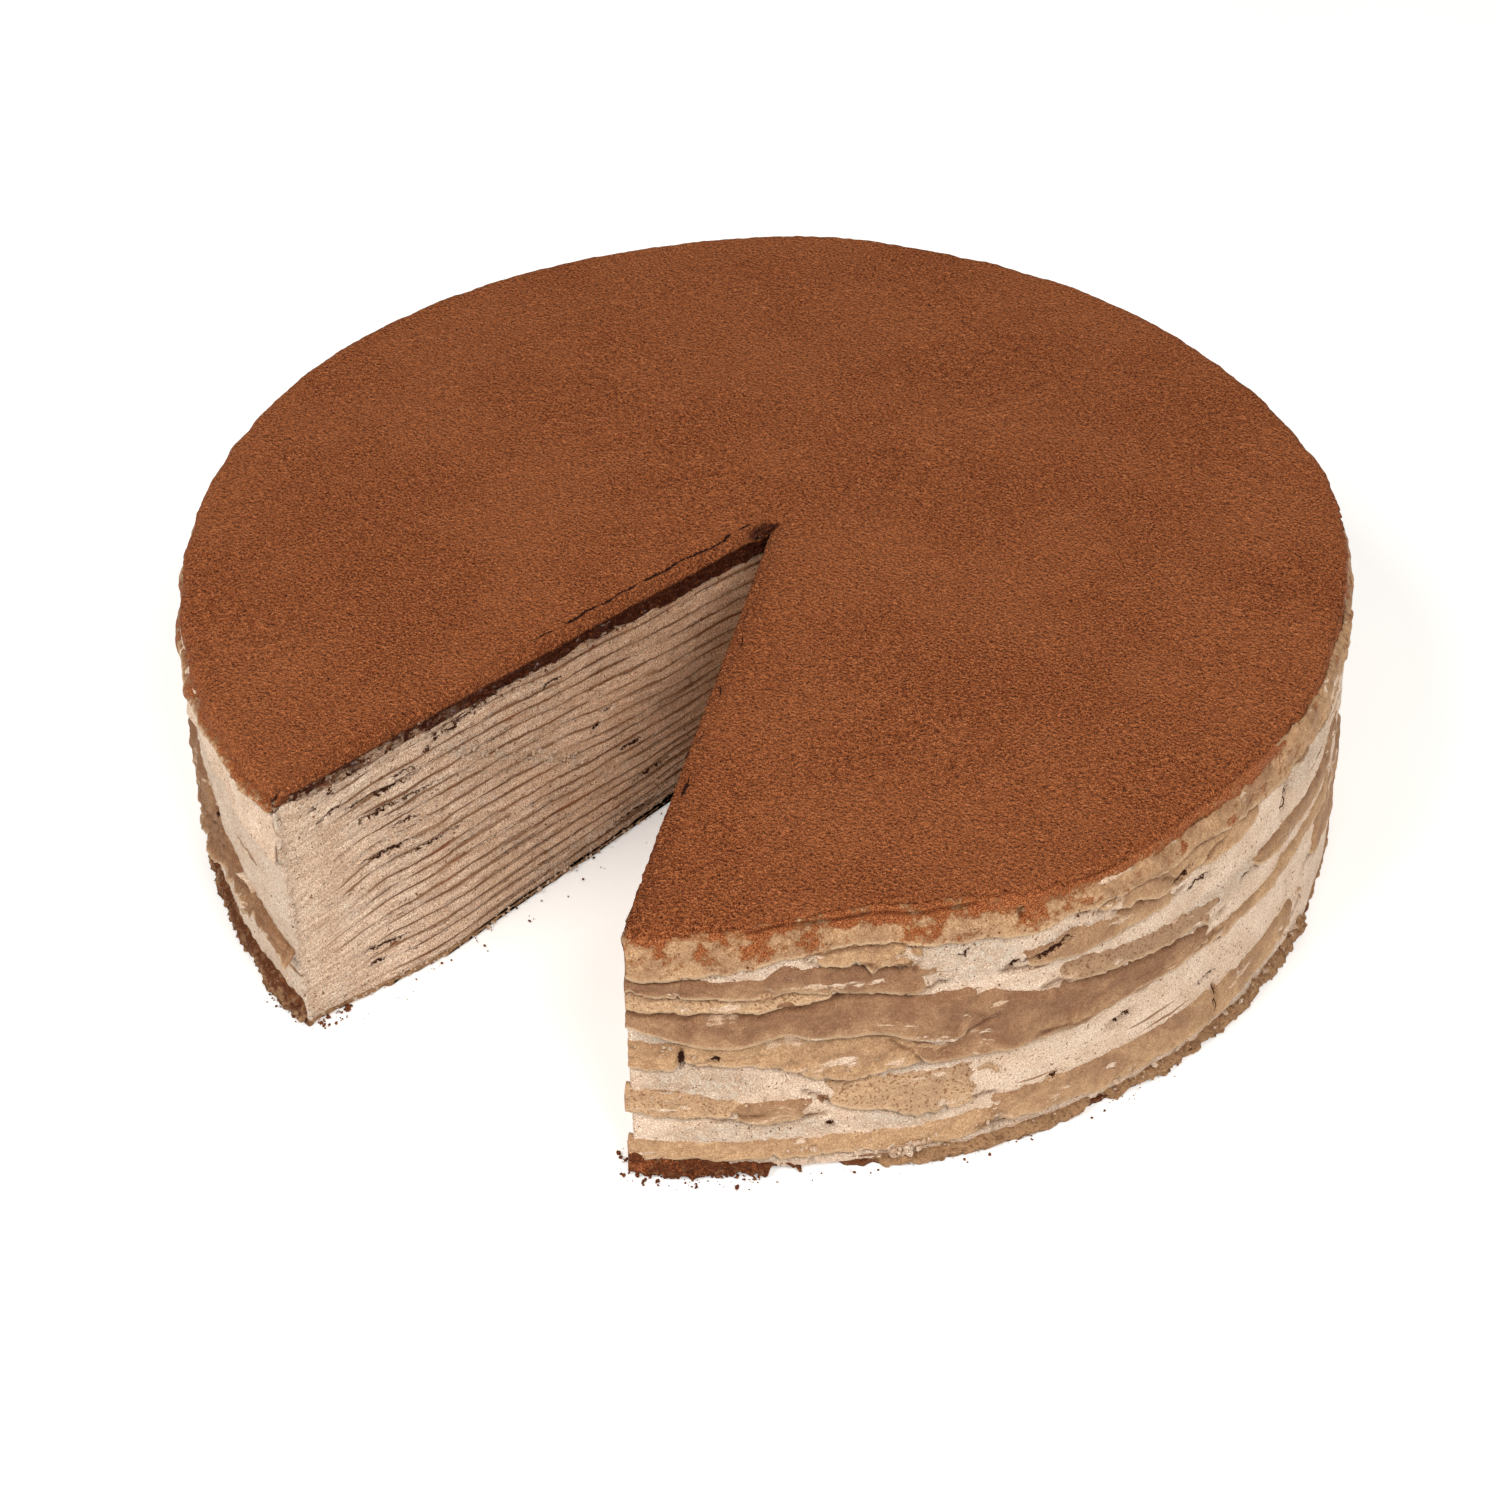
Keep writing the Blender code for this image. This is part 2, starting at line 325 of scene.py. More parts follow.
# %% [markdown]
# ## What happens where on the wall
# A knife drags cream along a cut and tears small slits under the crepes; a spatula leaves smears,
# cracks and pin holes on the side. Each field below answers one question about a place (s, z).

# %% Slits, holes and rough patches
SIDE_SLITS = (
    # angle, height, half length, half height, tilt, depth
    (-66.4, 29.4, 0.8, 2.9, 0.0, 2.4), (-63.5, 28.7, 1.3, 1.1, 0.4, 1.9),
    (-41.2, 47.0, 1.3, 0.5, 0.2, 1.2), (-36.1, 54.0, 0.5, 1.4, 0.0, 1.6),
    (-33.4, 44.4, 5.6, 0.7, 0.22, 1.9), (-36.8, 42.9, 1.6, 0.9, 0.3, 2.0),
    (-16.2, 41.6, 4.2, 0.5, 0.1, 1.3), (-25.4, 19.3, 3.4, 0.7, 0.18, 2.2),
    (-14.6, 16.5, 2.7, 0.5, 0.2, 1.6), (-32.5, 12.3, 1.2, 0.5, 0.2, 1.2),
    (-13.4, 10.0, 0.5, 4.6, 0.0, 2.0), (-2.4, 44.2, 1.9, 3.4, 0.9, 3.0),
    (-53.3, 10.6, 1.0, 0.9, 0.0, 1.6), (-19.0, 47.5, 3.4, 0.5, 0.12, 1.2),
    (236.0, 30.0, 0.6, 2.4, 0.0, 1.4), (229.0, 41.0, 3.0, 0.5, 0.2, 1.2),
)
CUT_SLITS = (
    # distance from the rim, height, half length, half height, tilt, depth
    (21.5, 46.3, 6.5, 0.45, -0.05, 1.8), (21.0, 42.3, 4.0, 0.40, 0.0, 1.6),
    (29.0, 42.0, 5.0, 0.35, -0.02, 1.2), (26.5, 37.1, 2.5, 0.35, 0.0, 1.0),
    (22.0, 32.1, 5.5, 0.45, -0.04, 1.7), (18.5, 10.5, 4.5, 0.50, -0.05, 2.0),
    (16.2, 7.2, 1.6, 0.50, 0.0, 1.5), (32.0, 29.0, 6.0, 0.30, -0.03, 0.8),
    (73.0, 32.4, 1.0, 0.80, 0.0, 1.8), (81.5, 22.5, 2.6, 0.50, -0.05, 1.4),
    (57.5, 6.2, 2.6, 0.50, 0.0, 1.4), (87.0, 12.4, 5.0, 0.45, 0.0, 1.6),
    (82.0, 4.2, 6.0, 0.45, -0.04, 1.3), (63.0, 49.5, 2.2, 0.70, 0.0, 1.2),
    (41.0, 52.9, 5.5, 0.50, 0.02, 1.8), (47.0, 54.0, 3.5, 0.40, 0.1, 1.2),
    (28.0, 48.0, 2.5, 0.40, -0.1, 1.2), (76.0, 35.0, 1.2, 0.3, 0.0, 0.6),
    (35.5, 51.6, 0.9, 0.5, 0.1, 2.0), (37.8, 52.3, 0.7, 0.4, 0.1, 2.0), (39.4, 51.4, 1.3, 0.4, 0.2, 2.0),
    (42.3, 53.2, 0.9, 0.6, 0.1, 2.0), (44.6, 52.6, 0.7, 0.4, 0.1, 2.0), (46.4, 53.4, 1.4, 0.45, 0.2, 2.0),
    (49.3, 54.1, 1.0, 0.4, 0.2, 2.0), (33.4, 50.2, 1.0, 0.3, 0.3, 1.6), (12.0, 52.0, 1.2, 0.35, 0.2, 1.0),
    (8.0, 50.3, 0.8, 0.4, 0.2, 1.2), (16.0, 53.6, 1.0, 0.4, 0.1, 1.2), (11.0, 47.4, 2.6, 0.3, 0.35, 1.0),
)
ROUGH_PATCHES = (
    # angle, height, half width in degrees, half height
    (-66.5, 33.0, 4.6, 3.6), (-64.5, 22.6, 5.6, 4.6), (-41.0, 45.5, 5.6, 5.6),
    (-54.0, 33.3, 2.6, 1.8), (-49.0, 22.6, 7.0, 1.8), (-60.0, 10.5, 9.0, 2.8),
    (-47.0, 11.0, 5.0, 2.6), (-30.0, 44.0, 7.0, 4.0), (-12.0, 35.0, 9.0, 3.0),
    (-8.0, 8.0, 8.0, 5.0), (6.0, 45.0, 9.0, 5.0),
)


def slit_depth(s, z):
    depth = np.zeros(s.shape)
    for angle, height, half_s, half_z, tilt, deep in SIDE_SLITS:
        depth = np.maximum(depth, 0.5 * deep * blob(s, z, s_at(angle), height, half_s, half_z, tilt))
    for away, height, half_s, half_z, tilt, deep in CUT_SLITS:
        spot = blob(s, z, LEFT_CORNER + away, height, half_s, half_z, tilt)
        depth = np.maximum(depth, 0.35 * deep * spot)
    return depth


def tear_fields(s, z):
    """Height above the nearest slit's centre line and the slit's half height there, for a crisp edge."""
    offset, half, nearest = np.full(s.shape, 9.0), np.full(s.shape, -1.0), np.full(s.shape, 1.5)
    places = [(s_at(slit[0]), slit[1], 0.85 * slit[2], 0.72 * slit[3], *slit[4:]) for slit in SIDE_SLITS]
    places = places + [(LEFT_CORNER + slit[0], slit[1], 1.15 * slit[2], 0.75 * slit[3], *slit[4:]) for slit in CUT_SLITS]
    for centre, height, half_s, half_z, tilt, _ in places:
        along = np.abs(s - centre) / half_s
        across = z - height - tilt * (s - centre)
        own = 0.8 * half_z * (1.35 * np.sqrt(np.clip(1 - along**2, 0, 1)) - np.clip(along - 1, 0, 9) - 0.35)
        here = (along < 1.6) & (np.abs(across) - own < nearest)
        offset, half = np.where(here, across, offset), np.where(here, own, half)
        nearest = np.where(here, np.abs(across) - own, nearest)
    return offset, half


def roughness(s, z):
    """0 where the cream is smeared smooth, 1 where it is torn and crumbly."""
    rough = 0.16 + 0.20 * smooth(hills(s / 17, z / 7, 23) + 0.2)
    for angle, height, wide, tall in ROUGH_PATCHES:
        rough = np.maximum(rough, 0.95 * blob(s, z, s_at(angle), height, ROUND * math.radians(wide), tall))
    rough = np.maximum(rough, 0.65 * smooth((s - s_at(212)) / 12) * (1 - cut_share(s)))
    rough = np.maximum(rough, 0.9 * np.exp(-(((s - LEFT_CORNER - 0.4) / 0.9) ** 2)))
    d = s - LEFT_CORNER
    streak = smooth(1.0 - np.abs(z - 46.0 + (d - 40.0) * 0.68) / 3.0) * smooth((d - 36) / 4) * smooth((72 - d) / 6)
    crumbly_foot = smooth((9.0 - z) / 6.0) * smooth((d - 50) / 12)
    back = smooth((s_at(35) - s) / -30.0) * smooth((s_at(215) - s) / 30.0)
    patchy = 0.8 * back * smooth(1.6 * hills(s / 24, z / 9, 29) - 0.1)
    return np.clip(np.maximum.reduce([rough, streak, crumbly_foot, patchy]), 0, 1)


# %% Push of the wall


def wall_form(s, z):
    """The broad swells of the wall, without its fine grain."""
    side = 1.0 - cut_share(s)
    smears = 0.34 * hills(s / 16, z / 8, 41) + 0.20 * hills(s / 8, z / 3.0, 43)
    drag = 0.13 * hills(s / 15, z / 1.5, 47) + 0.16 * hills(s / 22, z / 11, 49)
    return side * smears + (1.0 - side) * drag


def wall_push(s, z):
    """How far the wall stands proud here, with grain, holes and slits."""
    rough = roughness(s, z)
    fine = hills(s / 1.5, z / 1.0, 53, 2)
    torn = np.abs(hills(s / 2.6, z / 2.8, 59, 2))
    grain = (0.03 + 0.15 * rough) * fine + rough * (0.42 * torn - 0.12)
    ridge = 0.35 * np.exp(-(((s - LEFT_CORNER - 0.4) / 0.7) ** 2)) * (1.0 + hills(s * 0, z / 2.0, 57, 2))
    return wall_form(s, z) + grain + ridge - slit_depth(s, z)


# %% [markdown]
# ## Where each layer runs
# The plain solids give each crepe's height at the slice's point. From there the layers rise a
# little, arch over the shoulder about 25 mm from the rim and droop to the side. Each line also
# has its own small waves, and no two lines may touch.

# %% Layer heights


def tip_heights(name):
    """Lowest and highest point of a plain layer at the slice's point."""
    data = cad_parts[name].data
    points = np.empty(len(data.vertices) * 3)
    data.vertices.foreach_get("co", points)
    points = points.reshape(-1, 3) / MM
    near = np.hypot(*(points[:, :2] - AXIS - TIP).T) < 1.0
    return points[near, 2].min(), points[near, 2].max()


crepe_names = [f"crepe_{number:02d}" for number in range(1, CREPES + 1)]
cream_names = [f"cream_{number:02d}" for number in range(1, CREPES + 1)]
tip_middles = np.array([sum(tip_heights(name)) / 2 for name in crepe_names])
chocolate_foot = tip_heights("chocolate_crepe")[0] - 0.3
LEAST_PITCH = 1.5
FOOT_CREPE = 1.1


def layer_lines(s):
    """Middle height of each crepe, row by row, and the foot of the chocolate crepe as last row."""
    d, cut = from_rim(s), cut_share(s)
    rows = []
    for number, level in enumerate([*tip_middles, chocolate_foot]):
        share = level / HEIGHT
        droop = 4.6 * math.sin(math.pi * share**0.8) * (1.0 - smooth(d / 22.0))
        settle = 5.0 * math.sin(math.pi * share**1.3) * smooth((d - 42.0) / 70.0) * cut
        sag = 1.6 * share * (1.0 - smooth(d / 26.0))
        wave = 0.75 * hills(s / 26, s * 0 + 0.19 * number, 61) + 0.5 * hills(s / 12, s * 0 + 0.37 * number, 67)
        wave = wave + 0.25 * hills(s / 5, s * 0 + 3.7 * number, 69)
        side_wave = 1.0 * hills(s / 31, s * 0 + 0.31 * number, 71) * (1.0 - cut)
        rows.append(level - droop - settle - sag + (wave + side_wave) * math.sin(math.pi * share) ** 0.5)
    rows = np.array(rows)
    rows[0] = FOOT_CREPE / 2 + 0.1
    d_left = np.clip(s - LEFT_CORNER, 0, None)
    rows[-1] = chocolate_foot - 0.5 - 1.2 * (1 - cut) + 0.7 * hills(s / 6, s * 0, 73, 4)
    rows[-1] = rows[-1] - smooth((d_left - 12) / 22) * (0.9 + 1.9 * smooth((d_left - 60) / 45))
    crust = smooth(d_left / 5) * smooth((34 - d_left) / 10)
    rows[-1] = rows[-1] - crust * (1.7 + 1.4 * hills(s / 6, s * 0, 77, 3))
    for index in range(1, len(rows)):
        rows[index] = np.maximum(rows[index], rows[index - 1] + LEAST_PITCH)
    for index in range(len(rows) - 2, 0, -1):
        rows[index] = np.minimum(rows[index], rows[index + 1] - LEAST_PITCH)
    return rows


LINES = layer_lines(S)


def crepe_halves(s, lines):
    """Half the height of each crepe's edge as it shows: thin lines, smeared over near the rim."""
    d, cut = from_rim(s), cut_share(s)
    rows = []
    for number, line in enumerate(lines[:-1]):
        own = hills(s / 11, s * 0 + 5.3 * number, 79, 2)
        on_cut = (0.18 + 0.20 * own) * smooth((d - 6 - 8 * hills(s / 19, s * 0 + 7.7 * number, 81)) / 14) - 0.02
        on_side = 0.55 * smooth(1.8 * hills(s / 19, s * 0 + 2.9 * number, 83) - 0.95) - 0.012
        rows.append(cut * on_cut + (1 - cut) * on_side)
    rows = np.array(rows)
    rows[0] = FOOT_CREPE / 2
    return rows


HALVES = crepe_halves(S, LINES)
print("crepe lines from", LINES[:-1].min().round(1), "to", LINES[-1].max().round(1), "mm")

# %% [markdown]
# ## From columns to meshes
# A layer's strip of wall gets a flat lid above and below, drawn as a fan to a point deep in the
# cake. The lids are flat-shaded, so the wall's soft shading stops at the layer's edge. Numbers
# that a finish needs, such as how torn the cream is, are stored on the mesh's points.

# %% Mesh helpers
KERNEL = np.array([0.0, 20.0])
collection = bpy.data.collections.new("crepe_cake_looks")
bpy.context.scene.collection.children.link(collection)


class Parts:
    """Collects points, faces and the numbers stored on the points of one piece."""

    def __init__(self):
        self.points = []
        self.faces = []
        self.flat = []
        self.finish = []
        self.fields = []
        self.normals = []
        self.count = 0

    def add(self, points, faces, flat=None, finish=0, normals=None, **fields):
        points = np.asarray(points, float).reshape(-1, 3)
        self.points.append(points)
        self.normals.append(np.zeros_like(points) if normals is None else normals)
        self.fields.append({k: np.broadcast_to(v, (len(points),)) for k, v in fields.items()})
        for index, group in enumerate(faces):
            self.faces.append(group + self.count)
            self.flat.append(np.full(len(group), bool(flat and flat[index])))
            self.finish.append(np.full(len(group), finish))
        self.count += len(points)


def grid_faces(rows, columns, closed=False):
    """Quads of a grid of points that is stored row by row."""
    ids = np.arange(rows * columns).reshape(rows, columns)
    if closed:
        ids = np.concatenate([ids, ids[:, :1]], axis=1)
    return np.stack([ids[:-1, :-1], ids[:-1, 1:], ids[1:, 1:], ids[1:, :-1]], axis=-1).reshape(-1, 4)


def build_piece(name, parts, finishes, nodes):
    points = np.concatenate(parts.points) * MM
    points[:, :2] += AXIS * MM
    mesh = bpy.data.meshes.new(name)
    sizes = np.concatenate([np.full(len(group), group.shape[1]) for group in parts.faces])
    corners = np.concatenate([group.ravel() for group in parts.faces])
    mesh.vertices.add(len(points))
    mesh.vertices.foreach_set("co", points.astype(np.float32).ravel())
    mesh.loops.add(len(corners))
    mesh.loops.foreach_set("vertex_index", corners.astype(np.int32))
    mesh.polygons.add(len(sizes))
    mesh.polygons.foreach_set("loop_start", (np.cumsum(sizes) - sizes).astype(np.int32))
    mesh.polygons.foreach_set("use_smooth", ~np.concatenate(parts.flat))
    mesh.polygons.foreach_set("material_index", np.concatenate(parts.finish).astype(np.int32))
    for key in sorted(set().union(*parts.fields)):
        layer = mesh.attributes.new(key, "FLOAT", "POINT")
        values = [f.get(key, np.zeros(len(p))) for f, p in zip(parts.fields, parts.points)]
        layer.data.foreach_set("value", np.concatenate(values).astype(np.float32))
    mesh.update(calc_edges=True)
    mesh.validate()
    normals = np.concatenate(parts.normals)
    if normals.any():
        facing = normals[corners] * ~np.repeat(np.concatenate(parts.flat), sizes)[:, None]
        mesh.normals_split_custom_set(facing.tolist())
    for finish in finishes:
        mesh.materials.append(finish)
    piece = bpy.data.objects.new(name, mesh)
    collection.objects.link(piece)
    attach(piece, "root")
    if nodes:
        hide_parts(*nodes)
    triangles[name] = int((sizes - 2).sum())
    return piece


triangles = {}


LID_GROUP = 16
LID_INSET = 6.0


def lid(edge, middle, first, start):
    """Points and faces that close a ring: short wedges to a coarse inner ring, then a fan.

    edge is the ring, middle the fan's point, first the ring's first index, start the new points'."""
    count = len(edge)
    groups = np.arange(count) // LID_GROUP
    centres = edge[np.minimum(np.arange(groups[-1] + 1) * LID_GROUP + LID_GROUP // 2, count - 1)]
    inward = middle - centres
    inner = centres + inward * (LID_INSET / np.linalg.norm(inward, axis=1, keepdims=True))
    ids, following = np.arange(count), np.roll(np.arange(count), -1)
    wedges = np.stack([ids + first, following + first, groups + start], axis=1)
    turn = groups != groups[following]
    bridges = np.stack([following[turn] + first, groups[following][turn] + start, groups[turn] + start], axis=1)
    rings = np.arange(len(inner))
    fan = np.stack([rings + start, np.roll(rings, -1) + start, np.full(len(inner), start + len(inner))], axis=1)
    return np.concatenate([inner, [middle]]), np.concatenate([wedges, bridges, fan])


def strip(parts, heights, out, finish=0, kernel_drop=0.0, normals=None, **fields):
    """A closed layer: a band of the wall between its lowest and highest row, with two lids."""
    rows, columns = heights.shape
    s = np.broadcast_to(S, heights.shape)
    wall = wall_point(s, np.broadcast_to(THETA, s.shape), np.broadcast_to(REACH, s.shape), heights, out)
    low_middle = np.array([*KERNEL, heights[0].mean()])
    high_middle = np.array([*KERNEL, heights[-1].mean() - kernel_drop])
    low_points, low = lid(wall[0], low_middle, 0, rows * columns)
    high_points, high = lid(wall[-1], high_middle, (rows - 1) * columns, rows * columns + len(low_points))
    points = np.concatenate([wall.reshape(-1, 3), low_points, high_points])
    extra = np.zeros(len(low_points) + len(high_points))
    fields = {k: np.append(np.broadcast_to(v, heights.shape).ravel(), extra) for k, v in fields.items()}
    if normals is not None:
        normals = np.concatenate([normals.reshape(-1, 3), np.zeros((len(extra), 3))])
    walls = [grid_faces(rows, columns, True), low[:, ::-1], high]
    parts.add(points, walls, [False, True, True], finish, normals, **fields)


# %% [markdown]
# ## Rims that hang over the side
# A crepe is wider than the cake, so its rim folds down over the side like a small tablecloth. Each
# hanging rim, or leaf, is given by an upper and a lower line through a few (angle, height) points;
# the lower one is its hem, which frays and tears. The hems are worked out first, because the cream
# and the leaves below are pressed in under them, and that crease, darkened with painted shade, makes a hem stand out.

# %% Leaves of the front
FRONT_LEAVES = {
    19: [
        dict(top=[(-57, 53), (-45, 52.6)],
             hem=[(-57, 51.6), (-55.3, 50.4), (-53.2, 47.9), (-51, 48.4), (-49.5, 46.2), (-45.4, 45.8)],
             tone=0.75, fray=0.9, curl=0.9, lift=0.75, seed=191),
        dict(top=[(-50.6, 50.2), (-45, 50.0)], hem=[(-50.6, 48.4), (-48, 46.4), (-45, 46.6)],
             tone=0.9, fray=0.5, curl=1.3, lift=1.1, seed=195),
        dict(top=[(-31, 55), (-5, 55)], hem=[(-31, 50), (-22, 46), (-12, 45), (-5, 50)],
             tone=0.7, fray=0.6, curl=0.4, lift=0.5, seed=197, dust=0.3),
        dict(top=[(-4, 57), (22, 56)], hem=[(-4, 47.5), (2, 50), (12, 51), (22, 52)],
             tone=0.8, fray=0.6, curl=1.0, lift=0.6, seed=199, dust=0.45),
        dict(top=[(222, 55), (252, 54)], hem=[(222, 50), (236, 47), (246, 43.5), (252.05, 42.2)],
             fray=0.2, curl=0.4, lift=0.3, thick=0.35, seed=193, dust=0.1, finish=1, tone=0.0),
    ],
    17: [
        dict(top=[(-71, 48.4), (-58.8, 46.6), (-57.4, 50.6), (-55.2, 48.4), (-45.3, 46.6), (-42.5, 44)],
             hem=[(-71, 44.4), (-63, 43.2), (-58.8, 42.3), (-56, 43.1), (-51.7, 41.4), (-46.4, 39.8), (-42.5, 41.5)],
             tone=0.02, fray=0.35, curl=0.3, lift=0.4, seed=171),
        dict(top=[(-38, 46), (-18, 48)], hem=[(-38, 42), (-30, 41), (-18, 43)],
             tone=0.35, fray=0.5, curl=0.4, lift=0.3, seed=173),
        dict(top=[(-22, 54.6), (-13, 54.6)], hem=[(-22, 50), (-18, 45.2), (-13, 49)],
             tone=0.85, fray=0.4, curl=0.9, lift=0.7, seed=175),
    ],
    16: [
        dict(top=[(-71, 45.3), (-62, 44), (-51, 43)], hem=[(-71, 40.2), (-60, 39.6), (-51, 40.8)],
             tone=0.75, lace=0.9, fray=0.35, curl=0.2, lift=0.3, seed=161),
    ],
    15: [
        dict(top=[(-71, 40.8), (-59.2, 40.3), (-57.4, 42.9), (-55.6, 40.4), (-50.5, 41.6), (-46, 40.2), (-38, 40)],
             hem=[(-71, 37.3), (-68, 35.3), (-65.2, 32.8), (-61.7, 32), (-56.8, 34.3), (-55.2, 32.4),
                  (-51.7, 31.8), (-48.5, 31.3), (-46, 29.8), (-42.1, 28.2), (-40.3, 30.2), (-38, 33)],
             tone=0.08, fray=0.12, curl=0.9, lift=0.75, seed=151, wrinkle=0.2),
    ],
    14: [
        dict(top=[(-34, 41), (-26, 38.5), (-12, 35)], hem=[(-34, 35.5), (-26, 33.6), (-12, 30)],
             tone=0.0, lace=0.8, fray=0.6, curl=0.3, lift=0.3, seed=141),
    ],
    13: [
        dict(top=[(-48, 32), (-44, 35), (-38.9, 39.6), (-34.6, 36), (-28, 34), (-19, 31.6), (-12.5, 28.6)],
             hem=[(-48, 30), (-44.5, 23.8), (-35.3, 23.4), (-30, 24.5), (-21.8, 25.8), (-12.5, 26.6)],
             tone=0.12, fray=0.3, curl=1.0, lift=0.6, seed=131),
        dict(top=[(-10, 37), (16, 39)], hem=[(-10, 34.5), (4, 32), (16, 36)],
             tone=0.3, fray=0.4, curl=0.5, lift=0.35, seed=133),
        dict(top=[(222, 39.5), (230, 38), (235, 32), (240, 27.5), (246, 23.5), (252, 19.5)],
             hem=[(222, 34), (229, 18), (233, 20), (240, 20.5), (246, 18.6), (252.05, 16.8)],
             tone=0.0, fray=1.3, curl=2.6, lift=0.9, thick=0.5, seed=135, wrinkle=0.9),
    ],
    12: [
        dict(top=[(-71, 33.4), (-58, 33.4), (-46, 31.4), (-38, 30)],
             hem=[(-71, 27), (-66.6, 26.6), (-66.2, 30.6), (-65.4, 27), (-61, 27.4), (-57, 25), (-51.6, 20.6),
                  (-47.5, 23.6), (-38, 23.4)],
             tone=0.85, fray=0.25, curl=0.35, lift=0.35, seed=121, wrinkle=0.45),
    ],
    8: [
        dict(top=[(-56, 21.6), (-47, 22.2), (-38, 22.5)], hem=[(-56, 19.8), (-51.5, 14.6), (-44, 11.3), (-38, 13)],
             tone=0.6, lace=1.0, fray=0.5, curl=0.3, lift=0.4, seed=81),
        dict(top=[(-71.5, 21.8), (-66, 20.5), (-59, 17.4)], hem=[(-71.5, 15.4), (-66, 14.8), (-59, 14.8)],
             tone=0.6, lace=0.8, fray=0.5, curl=0.3, lift=0.4, seed=83),
    ],
    7: [
        dict(top=[(-64, 18), (-53.5, 18.2)], hem=[(-64, 14.4), (-59, 12.2), (-53.5, 13.4)],
             tone=0.3, fray=0.25, curl=0.5, lift=0.35, seed=71),
    ],
    6: [
        dict(top=[(-34, 27.4), (-8, 27.4), (14, 30)], hem=[(-34, 25.2), (-8, 24.6), (14, 26)],
             tone=0.6, fray=0.5, curl=0.4, lift=0.2, seed=61),
    ],
    5: [
        dict(top=[(-71.5, 8.6), (-62, 8.8), (-50, 8.2), (-36, 10)],
             hem=[(-71.5, 3.4), (-62, 4.2), (-57, 3.6), (-51, 3.8), (-44, 3.2), (-36, 5)],
             tone=0.9, lace=0.25, fray=0.5, curl=0.3, lift=0.3, seed=51),
        dict(top=[(-40, 12.6), (-20, 12.4), (3, 14.5)], hem=[(-40, 5.4), (-28, 4.4), (-13, 5.2), (3, 9)],
             tone=0.55, lace=0.15, fray=0.5, curl=0.7, lift=0.45, seed=53),
        dict(top=[(4, 25), (14, 24), (27, 22)], hem=[(4, 16), (14, 12), (27, 14)],
             tone=0.5, fray=0.6, curl=0.6, lift=0.4, seed=55),
    ],
}

# %% Leaves of the back
BACK_FROM, BACK_TO = 30.0, 216.0


def back_leaves(number, level):
    """One or two hanging rims of this crepe on the side that faces away."""
    chance = np.random.default_rng(500 + number)
    made = []
    for turn in range(2):
        half = chance.uniform(9, 30)
        middle = chance.uniform(BACK_FROM + half, BACK_TO - half)
        hang = chance.uniform(2.5, 8.0)
        top_z = level + 0.4
        low = max(0.6, top_z - hang)
        made.append(dict(
            top=[(middle - half, top_z), (middle + half, top_z)],
            hem=[(middle - half, top_z - 1), (middle, low), (middle + half, top_z - 1)],
            tone=chance.uniform(0.0, 0.9), lace=max(0.0, chance.uniform(-0.8, 0.9)),
            fray=chance.uniform(0.2, 0.8), curl=chance.uniform(0.3, 1.2), lift=0.3 + 0.02 * number,
            seed=600 + 10 * number + turn, step=1.0,
        ))
    return made


# %% Crepe layers
CREPE_ROWS = 2
BACK_COLUMN = int(np.argmin(np.abs(THETA - math.radians(120))))

# %% Leaves of the base crepe
BASE_LEAVES = (
    dict(top=[(-71.5, 5.2), (-68, 4.2), (-65, 4.6), (-61, 3.0), (-56, 1.3)], hem=[(-71.5, 0.1), (-66, 0.1), (-56, 0.4)],
         tone=0.0, fray=1.6, curl=0.2, lift=1.0, thick=1.2, seed=11, crumb=0.5, wrinkle=0.5, dust=1.7),
    dict(top=[(-51.5, 1.5), (-46, 2.2), (-36, 2.7), (-26, 2.4)], hem=[(-51.5, 0.9), (-44, 0.2), (-36, 0.2), (-26, 0.2)],
         tone=0.7, fray=0.5, curl=0.3, lift=1.3, thick=1.0, seed=12, crumb=0.25, wrinkle=0.5),
    dict(top=[(-29, 2.3), (-20, 2.7), (-8, 3.3), (0, 4.2), (7, 1.6)],
         hem=[(-29, 0.2), (-8, 0.2), (0, 0.2), (7, 0.2)],
         tone=0.65, fray=1.1, curl=0.3, lift=0.8, thick=1.0, seed=13, crumb=0.5, wrinkle=0.6),
    dict(top=[(222, 5), (238, 7.6), (252, 6.8)], hem=[(222, 0.2), (252.05, 0.2)],
         tone=0.35, fray=1.2, curl=0.5, lift=0.9, thick=1.4, seed=14, crumb=0.55, wrinkle=0.7, dust=0.5),
    dict(top=[(29, 3.0), (60, 5), (104, 4), (130, 5.4)], hem=[(29, 0.2), (130, 0.2)],
         tone=0.3, fray=0.9, curl=0.5, lift=0.8, thick=1.2, seed=15, step=0.8, crumb=0.4),
    dict(top=[(126, 4.0), (170, 5.4), (224, 4.0)], hem=[(126, 0.2), (224, 0.2)],
         tone=0.3, fray=0.9, curl=0.5, lift=0.8, thick=1.2, seed=16, step=0.8, crumb=0.4),
)

# %% Hem lines
SKIRT_HEM = [
    (-71, 48.0), (-66, 47.9), (-62, 48.4), (-59, 49.8), (-57.6, 52.0), (-54, 52.6), (-49.5, 51.8), (-44, 50.6),
    (-38, 49.6), (-30, 50.6), (-20, 51.6), (-10, 50.4), (-4, 48.6), (3, 51.0), (14, 51.6), (30, 49.5),
    (50, 51), (75, 48.5), (100, 50.5), (125, 48), (150, 50), (175, 49), (200, 51), (224, 52), (240, 53.6),
    (252.05, 54.5),
]


